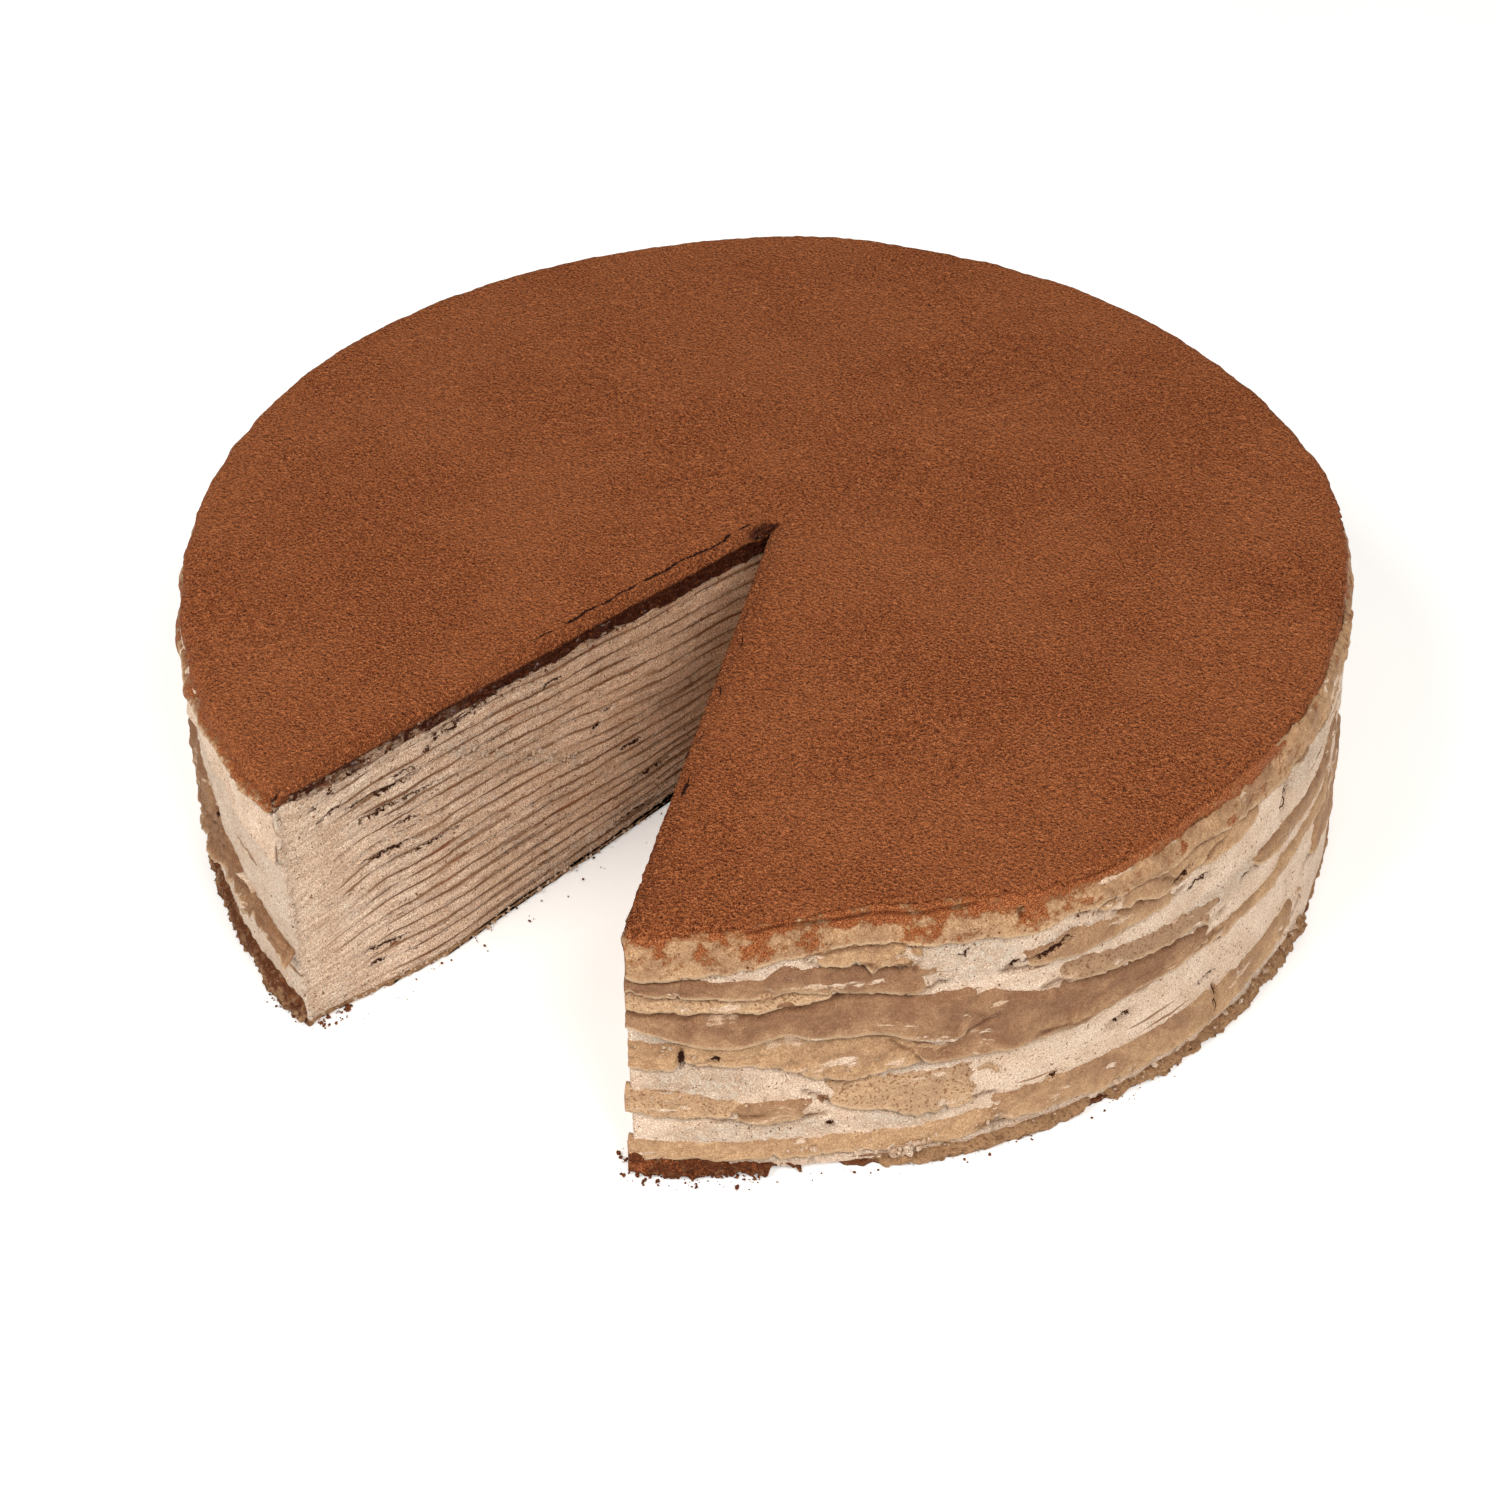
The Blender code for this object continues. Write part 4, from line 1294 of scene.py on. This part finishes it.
def tears(s, z):
    offset, half = tear_fields(s, z)
    return {"offset": offset, "half": half}


def cream_dust(s, z):
    """Cocoa that fell over the rim lands on the upper side."""
    side = 1.0 - cut_share(s)
    return side * smooth((z - 47.0) / 14.0) * 0.5


def wall_normals(heights, out):
    """Normals of the inner rows of this stretch of the wall; its first and last row only help."""
    s, theta, reach = (np.broadcast_to(row, heights.shape) for row in (S, THETA, REACH))
    wall = wall_point(s, theta, reach, heights, out)
    along = np.roll(wall, -1, axis=1) - np.roll(wall, 1, axis=1)
    normals = np.cross(along[1:-1], wall[2:] - wall[:-2])
    return normals / np.linalg.norm(normals, axis=-1, keepdims=True)


def make_cream(number):
    low = LINES[number] + HALVES[number]
    high = LINES[number + 1] - (HALVES[number + 1] if number + 1 < CREPES else 0.0)
    share = np.linspace(-1.0, CREAM_ROWS + 1.0, CREAM_ROWS + 3)[:, None] / CREAM_ROWS
    heights = low + (high - low) * share
    s = np.broadcast_to(S, heights.shape)
    bulge = 0.12 * np.sin(math.pi * share) - 0.05
    covered = (1.0 - cut_share(s)) * smooth((heights - skirt_hem(S, np.degrees(THETA)) - 0.3) / 1.2)
    out = wall_push(s, heights) + bulge * cut_share(s) - 0.6 * under_hem(s, heights) - 1.5 * covered
    normals = wall_normals(heights, out)
    share, heights, s, out = share[1:-1], heights[1:-1], s[1:-1], out[1:-1]
    parts = Parts()
    away = np.minimum(heights - low, high - heights)
    # Holes, slits and the crease under hems get painted shade, and on a cut the cream darkens towards the slice's
    # point, partly painted shade of the gap and partly moister cream.
    strip(
        parts, heights, out, normals=normals, along=s, across=2.9 * (number + share + 0.0 * s), tone=0.0,
        near=smooth(1.0 - away / band_width(s, number)) * line_strength(s, number),
        rough=roughness(s, heights), pit=hole_and_crease_shade(s, heights), cut=cut_share(s),
        dust=cream_dust(s, heights), aged=0.5 * cut_share(s) * smooth(from_rim(s) / 95.0), **tears(s, heights),
    )
    return parts


for index, name in enumerate(cream_names):
    build_piece(name, make_cream(index), [cream_finish], [name])
print("creams:", sum(triangles.values()), "triangles")

# %% [markdown]
# ## Crepe rims that hang over the side
# A crepe is wider than the cake, so its rim folds down over the side like a small tablecloth. Each
# hanging rim, or leaf, is a real thin sheet: it starts inside the wall, lies on the cream, and its
# frayed hem lifts away. Its upper and lower line run through a few (angle, height) points.

# %% One leaf


def leaf(parts, top, hem, lift=0.5, curl=0.5, thick=0.45, fray=0.6, seed=1, tone=0.5, lace=0.0,
         dust=0.0, step=0.5, finish=0, wrinkle=0.3, crumb=0.0):
    start = max(top[0][0], hem[0][0])
    end = min(top[-1][0], hem[-1][0])
    length = ROUND * math.radians(end - start)
    degrees = np.linspace(start, end, max(6, round(length / step)))
    s_line = s_at(degrees)
    top_z, hem_z = leaf_lines(top, hem, fray, seed, degrees, s_line)
    count = max(4, round(float((top_z - hem_z).max()) / 0.7))
    share = np.linspace(0.0, 1.0, count + 1)[:, None] ** 0.9
    z = np.clip(top_z + (hem_z - top_z) * share, 0.15, None)
    s = np.broadcast_to(s_line, z.shape)
    theta = np.radians(np.broadcast_to(degrees, z.shape))
    fade = smooth(np.minimum(s_line - s_line[0], s_line[-1] - s_line) / 9.0)
    fade = np.maximum(fade, [s_line[0] < RIGHT_CORNER + 1.0] * smooth((s_line[-1] - s_line) / 9.0))
    fade = np.maximum(fade, [s_line[-1] > LEFT_CORNER - 1.0] * smooth((s_line - s_line[0]) / 9.0))
    away = z - hem_z
    slits = slit_depth(s, z)
    shade = under_hem(s, z, seed)
    raised = -0.45 + (lift + 0.70) * smooth(share / 0.22)
    buried = smooth(fade * 1.3 - (1 - fade) * (0.35 * share - 1.1 * hills(z / 3.4, s / 5, seed + 9, 3)))
    raised = raised + 0.7 * fade * curl * (0.6 + 0.8 * hills(s / 13, s * 0, seed + 3)) * smooth(1.0 - away / 3.0) ** 1.5
    folds = hills(s / 7, z / 5, seed + 4) + 0.6 * hills(s / 3.2, z / 1.9, seed + 5) + 0.25 * hills(s / 1.7, z / 1.2, seed + 7)
    raised = -0.9 + (raised + 0.9) * buried
    folds = folds - 0.9 * smooth(1 - np.abs(hills(s / 6, z / 3.2, seed + 12, 2)) / 0.16)
    outer = wall_form(s, z) + raised + wrinkle * folds * smooth(share / 0.3)
    outer = outer + crumb * hills(s / 1.1, z / 0.9, seed + 10, 2)
    outer = outer - 0.7 * slits - 0.35 * shade
    inner = outer - thick * (0.35 + 0.65 * smooth(away / 1.5))
    ones = np.ones(z.shape)
    facing = np.clip(s, RIGHT_CORNER + CORNER_BLEND, LEFT_CORNER - CORNER_BLEND)
    sheets = [wall_point(facing, theta, ones, z, push) for push in (outer, inner)]
    rows, columns = z.shape
    front = grid_faces(rows, columns)[:, ::-1]
    back = grid_faces(rows, columns) + rows * columns
    ids = np.arange(rows * columns).reshape(rows, columns)
    ring = np.concatenate([ids[0, :-1], ids[:-1, -1], ids[-1, :0:-1], ids[:0:-1, 0]])
    following = np.roll(ring, -1)
    border = np.stack([ring, following, following + rows * columns, ring + rows * columns], axis=1)
    warm = 0.40 * smooth(1.0 - away / 5.5) - 0.12
    spots = smooth(1.8 * hills(s / 3.5, z / 3, seed + 8) - 0.1)
    # The crease below another leaf's hem and the slits get painted shade.
    fields = {
        "tone": np.clip(tone + warm, 0, 1), "lace": lace * ones, "dust": dust * (0.35 + 0.65 * spots), "along": s, "across": z,
        "hem": np.clip(1.3 - away / 0.5, 0, 1), "pit": np.clip(0.75 * shade + 0.35 * smooth(slits / 1.2), 0, 1), **tears(s, z),
    }
    fields = {key: np.tile(value.ravel(), 2) for key, value in fields.items()}
    points = np.concatenate([sheet.reshape(-1, 3) for sheet in sheets])
    parts.add(points, [front, back, border], finish=finish, **fields)


# %% Crepe layers


def make_crepe(number):
    """Crepe number counts from 1; its edge is a thin line set back a little between the creams."""
    line, half = LINES[number - 1], HALVES[number - 1]
    share = np.linspace(-1.0, 1.0, CREPE_ROWS + 1)[:, None]
    heights = line + np.maximum(half, 0.07) * share
    s = np.broadcast_to(S, heights.shape)
    covered = smooth((0.07 - half) / 0.06)
    out = wall_push(s, heights) - 0.12 * (1 - np.abs(share)) * cut_share(s) - 0.5 * covered
    parts = Parts()
    # Holes, slits and the crease under hems get painted shade.
    strip(
        parts, heights, out, along=s, across=2.9 * (number - 0.5) + 0.0 * s,
        tone=0.45, cut=line_strength(s, number), dust=cream_dust(s, heights), pit=hole_and_crease_shade(s, heights),
        **tears(s, heights),
    )
    for leaf_values in LEAVES[number]:
        leaf(parts, **leaf_values)
    return parts


for index, name in enumerate(crepe_names[1:], start=2):
    build_piece(name, make_crepe(index), [crepe_finish, cream_finish], [name])
print("with crepes:", sum(triangles.values()), "triangles")

# %% [markdown]
# ## The base crepe
# The lowest crepe is the browned one that stood on the pan: dark, crumbly, and sticking out under
# the cake where the others stop. Its rim turns up here and there.

# %% Base crepe layer


def make_base():
    share = np.linspace(0.0, 1.0, 4)[:, None]
    low = 0.05 + 0.0 * S
    hollow = blob(S, S * 0, s_at(-57.0), 0, 9.0, 1.0)
    high = LINES[0] + HALVES[0]
    heights = low + (high - low) * share
    s = np.broadcast_to(S, heights.shape)
    ragged = 0.55 * hills(s / 2.2, s * 0 + 3.0, 91, 2) + 0.25
    ragged = ragged * (1 - cut_share(s)) + 0.5 * cut_share(s) * hills(s / 1.6, heights / 0.8, 92, 2)
    out = wall_push(s, heights) + ragged - 2.5 * hollow
    parts = Parts()
    pale = smooth((np.degrees(THETA) - 5) / 3) * smooth((30 - np.degrees(THETA)) / 4)
    strip(parts, heights, out, tone=0.2 + 0.8 * np.maximum(cut_share(s), pale))
    for leaf_values in LEAVES[1]:
        leaf(parts, **leaf_values)
    return parts


build_piece("crepe_01", make_base(), [base_finish], ["crepe_01"])
print("with base:", sum(triangles.values()), "triangles")

# %% [markdown]
# ## The chocolate crepe
# On the cuts it is a dark moist band; on the side it rolls over the shoulder and hangs down as a
# tan skirt. One closed strip of the wall does both: its rows run over the shoulder, down the
# outside, round the hem and back up inside, and on a cut the same rows simply share out the band.

# %% Top surface
SHOULDER = 3.0
COCOA_COAT = 0.55


def top_level(reach, theta):
    """Height of the powder before it rounds over the rim."""
    sag = 0.5 * smooth((reach - 0.70) / 0.30)
    return HEIGHT - 0.50 - sag + 0.15 * reach * np.sin(2 * theta + 0.6)


def shoulder_drop(inset):
    """How far the top has rounded down, this far inside the rim."""
    part = np.clip(1.0 - inset / SHOULDER, 0.0, 0.985)
    return SHOULDER * (1.0 - np.sqrt(1.0 - part * part))


# %% Chocolate skirt
SKIRT_THICK = 0.75
SKIRT_ROWS = (12, 14, 2, 5)


def skirt_point(row, top, hem, foot):
    """Height and radius, before any folds, of a row of the skirt on the side."""
    over, outside, around, inside = SKIRT_ROWS
    rim = rim_top(THETA)
    if row <= over:
        turn = math.pi / 2 * row / over
        inner = SHOULDER - 0.45
        return top + 0.45 - SHOULDER + inner * math.cos(turn), rim - SHOULDER + inner * math.sin(turn)
    if row <= over + outside:
        share = (row - over) / outside
        z = (top + 0.45 - SHOULDER) * (1 - share) + hem * share
        resting = rim_radius(THETA, z) - 0.1 + 0.65 * smooth(share * 1.6) + wall_form(S, z) * share + 0.35 * share**3
        return z, (rim - 0.45) * (1 - smooth(share * 2)) + resting * smooth(share * 2)
    if row <= over + outside + around:
        share = (row - over - outside) / around
        z = hem + 0.3 * share
        return z, rim_radius(THETA, z) + 0.9 - SKIRT_THICK * share + wall_form(S, z)
    share = (row - over - outside - around) / inside
    z = (hem + 0.3) * (1 - share) + foot * share
    return z, rim_radius(THETA, z) - 0.15 - 1.2 * share


def crease(degrees, row):
    """A fold along the shoulder where the powder stops short; 1 in the middle of its groove."""
    where = smooth((degrees + 62) / 3) * smooth((-38 - degrees) / 3)
    where = where + 0.6 * smooth((degrees + 33) / 3) * smooth((-24 - degrees) / 3)
    bend = 6.6 + 1.6 * hills(S / 11, S * 0, 117)
    return where * smooth(1.0 - np.abs(row - bend) / 1.3)


def make_chocolate():
    degrees = np.degrees(THETA)
    on_side = (REACH > 0.9999) & (S > RIGHT_CORNER + 0.1) & (S < LEFT_CORNER - 0.1)
    top = top_level(REACH, THETA) - COCOA_COAT
    lip = np.where(S > LEFT_CORNER, 0.9, 0.4) * smooth(np.minimum(S, WALL_LENGTH - S) / 3.0 + 0.5)
    foot = LINES[-1]
    hem = skirt_hem(S, degrees)
    down = sum(SKIRT_ROWS)
    rows = []
    for row in range(down + 1):
        band = top - lip + (foot - top + lip) * row / down
        band_out = wall_form(S, band) + 0.5 * hills(S / 2.2, band / 0.9, 107, 3) - 0.15
        z_side, radius = skirt_point(row, top, hem, foot)
        folds = 0.3 * hills(S / 9, z_side / 4, 109) + 0.16 * hills(S / 2.6, z_side / 2, 113, 2)
        side_out = radius - rim_radius(THETA, z_side) + folds * smooth((row - 8) / 8)
        side_out = side_out - 0.9 * slit_depth(S, z_side) * (row > 8) * (row <= 26)
        dent = crease(degrees, row)
        side_out = side_out - 0.9 * dent
        z_side = z_side - 0.8 * dent
        rows.append((np.where(on_side, z_side, band), np.where(on_side, side_out, band_out)))
    heights = np.array([z for z, _ in rows])[::-1]
    out = np.array([o for _, o in rows])[::-1]
    s = np.broadcast_to(S, heights.shape)
    parts = Parts()
    side = np.broadcast_to(on_side, s.shape) * 1.0
    hanging = heights - hem
    spots = smooth(1.9 * hills(s / 4.5, heights / 3.2, 127) + 0.15) * smooth((heights - 49.0) / 4.5)
    left = smooth((S - s_at(205)) / 20) * smooth((heights - 53.5) / 3)
    far = smooth((degrees + 44) / 8) * smooth((heights - 52.0) / 4.0)
    dusty = 0.33 + 0.50 * spots + 0.42 * smooth((heights - 54.0) / 3.2) + 0.35 * left + 0.25 * far
    low_part = np.clip(1.0 - (heights - foot) / 2.6, 0, 1)
    pale = smooth(0.3 + 1.3 * hills(s / 6, heights / 0.9, 131, 3) + 0.7 * low_part) * smooth((46 - from_rim(s)) / 20)
    # The groove of the shoulder crease and the slits of the skirt get painted shade.
    grooves = np.array([crease(degrees, row) for row in range(down + 1)])[::-1]
    strip(
        parts, heights, out, kernel_drop=0.9,
        dust=side * dusty + (1 - side) * 0.46, tone=0.75, lace=0.15 * side, hem=side * np.clip(1 - np.abs(hanging) / 0.8, 0, 1),
        pale=pale * (1 - side), cut=0.0, offset=9.0, half=-1.0, pit=side * np.clip(0.55 * grooves + smooth(slit_depth(s, heights) / 1.2), 0, 1),
    )
    faces = parts.faces[0]
    columns = len(S)
    column = faces[:, 0] % columns
    skirt = on_side[column] | on_side[(column + 1) % columns]
    parts.finish[0] = np.where(skirt, 1, 0)
    return parts


build_piece("chocolate_crepe", make_chocolate(), [chocolate_finish, crepe_finish],
            ["chocolate_crepe"])
print("with chocolate crepe:", sum(triangles.values()), "triangles")

# %% [markdown]
# ## Cocoa powder
# The powder is sifted on thickly, so the top is one soft skin with small clumps, pin holes and
# faint dunes. Its mesh is an even triangle net over the round, so the grain has no direction,
# and its edge follows the ragged line where the powder stops on the shoulder.

# %% Cocoa surface
NET = 0.75
POWDER_EDGE = [
    (-71, 0.3), (-66, 0.5), (-61, 0.9), (-58.5, 2.0), (-54, 2.3), (-50, 1.5), (-46, 2.5), (-42, 2.6), (-38, 1.6),
    (-30, 1.0), (-20, 1.2), (-8, 1.6), (0, 1.2), (10, 1.4), (24, 0.8), (60, 0.35), (120, 0.3), (200, 0.4),
    (230, 0.3), (252.05, 0.2),
]


def powder_edge(theta):
    """Radius at which the powder stops."""
    s = s_at(np.degrees(theta))
    ragged = 0.30 * hills(s / 2.2, s * 0, 137, 3) + 0.25 * np.abs(hills(s / 1.1, s * 0, 139))
    ragged = ragged + 0.7 * smooth((np.degrees(theta) + 48) / 5) * smooth((40 - np.degrees(theta)) / 9) * hills(s / 1.3, s * 0, 141, 2)
    inset = np.clip(line_through(POWDER_EDGE, np.degrees(theta)) + ragged, 0.12, None)
    return rim_top(theta) - inset


def cut_edge(theta, step, seed):
    """Points of the powder's edge along a cut, from the slice's point outwards."""
    end = direction(np.array(theta)) * (powder_edge(np.array([theta]))[0])
    length = np.hypot(*(end - TIP))
    share = steps(length, step)
    line = (end - TIP) / length
    turn = 1.0 if theta == RIGHT_CUT else -1.0
    side = np.array([line[1], -line[0]]) * turn
    along = share * length
    ragged = 0.16 * hills(along / 1.6, along * 0, seed, 2) + 0.12 * hills(along / 9, along * 0, seed + 1)
    ragged = ragged * smooth(along / 4)
    proud = (0.30 if theta == LEFT_CUT else 0.05) * smooth(along / 6)
    return TIP + line * along[:, None] + side * (ragged + proud)[:, None]


def distance_to_cut(points, theta):
    """How far these places are from a cut, and how far out along it they lie."""
    line = direction(np.array(theta)) * ROUND - TIP
    line = line / np.hypot(*line)
    offset = points - TIP
    across = offset[:, 0] * line[1] - offset[:, 1] * line[0]
    along = offset @ line
    return np.where(along > 0, np.abs(across), np.hypot(*offset.T)), along


def in_gap(points):
    """True in the missing slice."""
    angle = np.arctan2(*(points - TIP).T[::-1])
    ends = [np.arctan2(*(direction(np.array(cut)) * ROUND - TIP)[::-1]) for cut in (LEFT_CUT, RIGHT_CUT)]
    return (angle > ends[0]) & (angle < ends[1])


def cocoa_heights(points):
    """Height of the powder at these points seen from above, and the marks that its finish needs."""
    radius, theta = np.hypot(*points.T), np.arctan2(points[:, 1], points[:, 0])
    theta = np.where(theta < RIGHT_CUT - 0.1, theta + math.tau, theta)
    rim = rim_top(theta)
    x, y = points.T
    z = top_level(np.clip(radius / rim, 0, 1), theta) - shoulder_drop(rim - radius)
    inner = smooth((rim - radius) / 9.0)
    z = z + 0.15 * hills(x / 2.2, y / 2.2, 149, 2) + 0.10 * hills(x / 7, y / 7, 151) * inner
    z = z + 0.26 * hills(x / 34, y / 34, 157) * inner
    right, right_along = distance_to_cut(points, RIGHT_CUT)
    left, left_along = distance_to_cut(points, LEFT_CUT)
    z = z - 1.1 * smooth(1 - left / 2.6) ** 1.5 - 0.35 * smooth(1 - right / 0.9)
    right_line = right - 1.7 - 0.9 * hills(right_along / 9, right_along * 0, 163, 2)
    crack_line = np.abs(right_line)
    there = smooth(1.8 * hills(right_along / 7, right_along * 0 + 4, 167) - 0.1) * (right_along > 2)
    crack = smooth(1 - crack_line / 0.45) * there * (right < 5)
    left_line = left - 2.7 - 0.5 * hills(left_along / 9, left_along * 0, 173, 3)
    broken = smooth(1.0 + 1.7 * hills(left_along / 5, left_along * 0, 179, 2)) * smooth((left_along - 3) / 3)
    broken = broken * smooth((64 - left_along) / 14) * (left < 9)
    crack = np.maximum(crack, smooth(1 - np.abs(left_line) / 0.7) * broken)
    nearer = np.abs(left_line) < crack_line
    seam = np.where(nearer, left_line, right_line)
    split = np.where(nearer, broken, there * (right < 5))
    notch = smooth(1.9 - np.hypot(left - 0.6, (left_along - 3.0) / 2.8) / 0.8) * (np.hypot(*(points - TIP).T) < 8)
    brittle = np.maximum(smooth(1 - right / 6.0) * smooth(right_along / 4), 0.8 * smooth(1 - left / 5.0) * smooth(left_along / 4))
    return z - 0.4 * crack - 0.9 * notch, (notch, brittle, seam, split)


def make_cocoa():
    span = np.arange(-120.0, 120.0, NET)
    across, up = np.meshgrid(span, np.arange(-120.0, 120.0, NET * math.sqrt(3) / 2))
    across = across + (np.arange(len(up)) % 2)[:, None] * NET / 2
    chance = np.random.default_rng(7)
    net = np.stack([across.ravel(), up.ravel()], axis=1)
    net = net + chance.uniform(-0.16, 0.16, net.shape)
    theta = np.arctan2(net[:, 1], net[:, 0])
    theta = np.where(theta < RIGHT_CUT - 0.1, theta + math.tau, theta)
    inside = np.hypot(*net.T) < powder_edge(theta) - 0.45
    for cut in (RIGHT_CUT, LEFT_CUT):
        inside &= distance_to_cut(net, cut)[0] > 0.45
    inside &= ~in_gap(net)
    arc = np.linspace(RIGHT_CUT, LEFT_CUT, round(ROUND * (LEFT_CUT - RIGHT_CUT) / 0.6), endpoint=False)
    edge = np.concatenate([
        cut_edge(RIGHT_CUT, 0.6, 181), direction(arc) * powder_edge(arc)[:, None],
        cut_edge(LEFT_CUT, 0.6, 191)[:0:-1],
    ])
    flat = np.concatenate([edge, net[inside]])
    count = len(edge)
    rings = [(i, (i + 1) % count) for i in range(count)]
    verts, _, faces, *_ = delaunay_2d_cdt([Vector(p) for p in flat], rings, [], 1, 1e-6)
    flat = np.array([tuple(v) for v in verts])
    z, marks = cocoa_heights(flat)
    top = np.column_stack([flat, z])
    parts = Parts()
    faces = np.array([face for face in faces if len(face) == 3])
    return parts, top, faces, marks, count


parts, top, faces, marks, count = make_cocoa()
print("cocoa net:", len(top), "points,", len(faces), "triangles")


def close_cocoa(parts, top, faces, marks, count):
    """Adds a turned-down edge and an underside, so that the powder is one closed coat."""
    edge = top[:count]
    radius = np.hypot(*edge[:, :2].T)
    theta = np.arctan2(edge[:, 1], edge[:, 0])
    theta = np.where(theta < RIGHT_CUT - 0.1, theta + math.tau, theta)
    on_cut = (np.minimum(distance_to_cut(edge[:, :2], RIGHT_CUT)[0], distance_to_cut(edge[:, :2], LEFT_CUT)[0]) < 0.8)
    coat = np.where(on_cut, 0.75, 0.35)
    lower = edge - np.column_stack([edge[:, :2] * 0.0015, coat])
    middle = edge * 1.0
    middle[:, 2] -= coat * 0.5
    under = edge * 1.0
    under[:, :2] = KERNEL + (edge[:, :2] - KERNEL) * 0.985
    under[:, 2] -= coat + 0.1
    rows = np.concatenate([middle, lower, under])
    start = len(top)
    middle_point = np.array([*KERNEL, top[:, 2].max() - 2.5])
    inner, fan = lid(under, middle_point, start + 2 * count, start + 3 * count)
    points = np.concatenate([top, rows, inner])
    rings = [np.arange(count), start + np.arange(count), start + count + np.arange(count), start + 2 * count + np.arange(count)]
    bands = [np.stack([a, b, np.roll(b, -1), np.roll(a, -1)], axis=1) for a, b in zip(rings, rings[1:])]
    marks = [np.pad(mark, (0, len(points) - len(top))) for mark in marks]
    fields = dict(zip(("crack", "brittle", "seam", "split"), marks))
    parts.add(points, [faces, *bands, fan[:, ::-1]], **fields)


close_cocoa(parts, top, faces, marks, count)
build_piece("cocoa_top", parts, [cocoa_finish], ["cocoa_top"])

# %% [markdown]
# ## Crumbs
# Cutting a slice out leaves crumbs: cocoa grains cling under the powder's edge and lie at the foot
# of the cake, and bits of cream and crepe hang on the torn places. Every crumb is a small lump
# with a few facets, set on the wall by its distance along it, its height and how far it stands off.

# %% One heap of crumbs
CRUMB_SHAPE = (
    (0, 0, 1), (0.89, 0, 0.45), (0.28, 0.85, 0.45), (-0.72, 0.53, 0.45), (-0.72, -0.53, 0.45), (0.28, -0.85, 0.45),
    (0.72, 0.53, -0.45), (-0.28, 0.85, -0.45), (-0.89, 0, -0.45), (-0.28, -0.85, -0.45), (0.72, -0.53, -0.45),
    (0, 0, -1),
)
CRUMB_FACES = (
    [(0, i, i % 5 + 1) for i in range(1, 6)] + [(i, i + 5, i % 5 + 1) for i in range(1, 6)]
    + [(i % 5 + 1, i + 5, i % 5 + 6) for i in range(1, 6)] + [(11, i % 5 + 6, i + 5) for i in range(1, 6)]
)


def crumbs(parts, count, s_range, z_range, off_range, sizes, seed, slope=0.0):
    """Scatters crumbs over a stretch of the wall; most of them are small."""
    chance = np.random.default_rng(seed)
    s = chance.uniform(*s_range, count)
    z = chance.uniform(*z_range, count) + slope * (s - s_range[0])
    off = off_range[0] + (off_range[1] - off_range[0]) * chance.random(count) ** 2
    size = sizes[0] + (sizes[1] - sizes[0]) * chance.random(count) ** 3
    z = np.maximum(z, size * 0.8)
    places = wall_point(s, np.interp(s, S, THETA), np.interp(s, S, REACH), z, wall_push(s, z) + off)
    shape, faces = np.array(CRUMB_SHAPE), np.array(CRUMB_FACES)
    stretched = chance.uniform(0.6, 1.25, (count, 12, 1)) * shape * chance.uniform(0.6, 1.2, (count, 1, 3))
    points = places[:, None, :] + stretched * size[:, None, None]
    points[..., 2] = np.maximum(points[..., 2], 0.05)
    groups = faces + 12 * np.arange(count)[:, None, None]
    parts.add(points, [groups.reshape(-1, 3)], [True], offset=9.0, half=-1.0, tone=0.3, rough=0.6)


# %% Cocoa crumbs and cream crumbs
cocoa_bits, cream_bits = Parts(), Parts()
crumbs(cocoa_bits, 110, (RIGHT_CORNER - 8, RIGHT_CORNER + 22), (0, 0.2), (0.6, 4.0), (0.14, 0.6), 301)
crumbs(cocoa_bits, 70, (LEFT_CORNER - 12, LEFT_CORNER + 9), (0, 0.2), (0.8, 3.5), (0.14, 0.6), 302)
crumbs(cocoa_bits, 60, (RIGHT_CORNER + 20, RIGHT_CORNER + 110), (0, 0.2), (1.2, 3.4), (0.12, 0.4), 303)
crumbs(cocoa_bits, 50, (LEFT_CORNER + 5, LEFT_CORNER + 100), (0, 0.2), (0.8, 6.0), (0.12, 0.35), 304)
crumbs(cocoa_bits, 220, (LEFT_CORNER + 4, LEFT_CORNER + 112), (52.6, 57.0), (0.0, 0.25), (0.14, 0.42), 305)
crumbs(cocoa_bits, 90, (LEFT_CORNER + 4, LEFT_CORNER + 112), (40, 56), (0.0, 0.1), (0.10, 0.24), 306)
crumbs(cocoa_bits, 90, (RIGHT_CORNER + 1, RIGHT_CORNER + 90), (49, 56), (0.6, 0.9), (0.10, 0.28), 307)
crumbs(cream_bits, 150, (LEFT_CORNER + 38, LEFT_CORNER + 70), (45.5, 48.5), (0.0, 0.3), (0.16, 0.55), 311, slope=-0.66)
crumbs(cream_bits, 150, (LEFT_CORNER + 52, LEFT_CORNER + 95), (0.3, 11), (0.0, 0.2), (0.14, 0.45), 312)
crumbs(cream_bits, 130, (LEFT_CORNER + 2, LEFT_CORNER + 100), (0.0, 1.6), (0.1, 0.7), (0.16, 0.6), 313)
crumbs(cream_bits, 90, (RIGHT_CORNER + 1, RIGHT_CORNER + 30), (17, 36), (0.3, 0.8), (0.14, 0.5), 314)
crumbs(cream_bits, 120, (RIGHT_CORNER + 24, RIGHT_CORNER + 150), (2.0, 6.5), (0.6, 1.3), (0.16, 0.8), 315)
crumbs(cream_bits, 60, (RIGHT_CORNER + 46, RIGHT_CORNER + 50), (2.2, 4.4), (0.2, 1.3), (0.4, 1.0), 316)
crumbs(cream_bits, 30, (LEFT_CORNER + 5, LEFT_CORNER + 40), (51.5, 55), (0.0, 0.2), (0.14, 0.4), 317)
build_piece("cocoa_crumbs", cocoa_bits, [cocoa_finish], [])
build_piece("cream_crumbs", cream_bits, [cream_finish], [])
print("all:", sum(triangles.values()), "triangles")
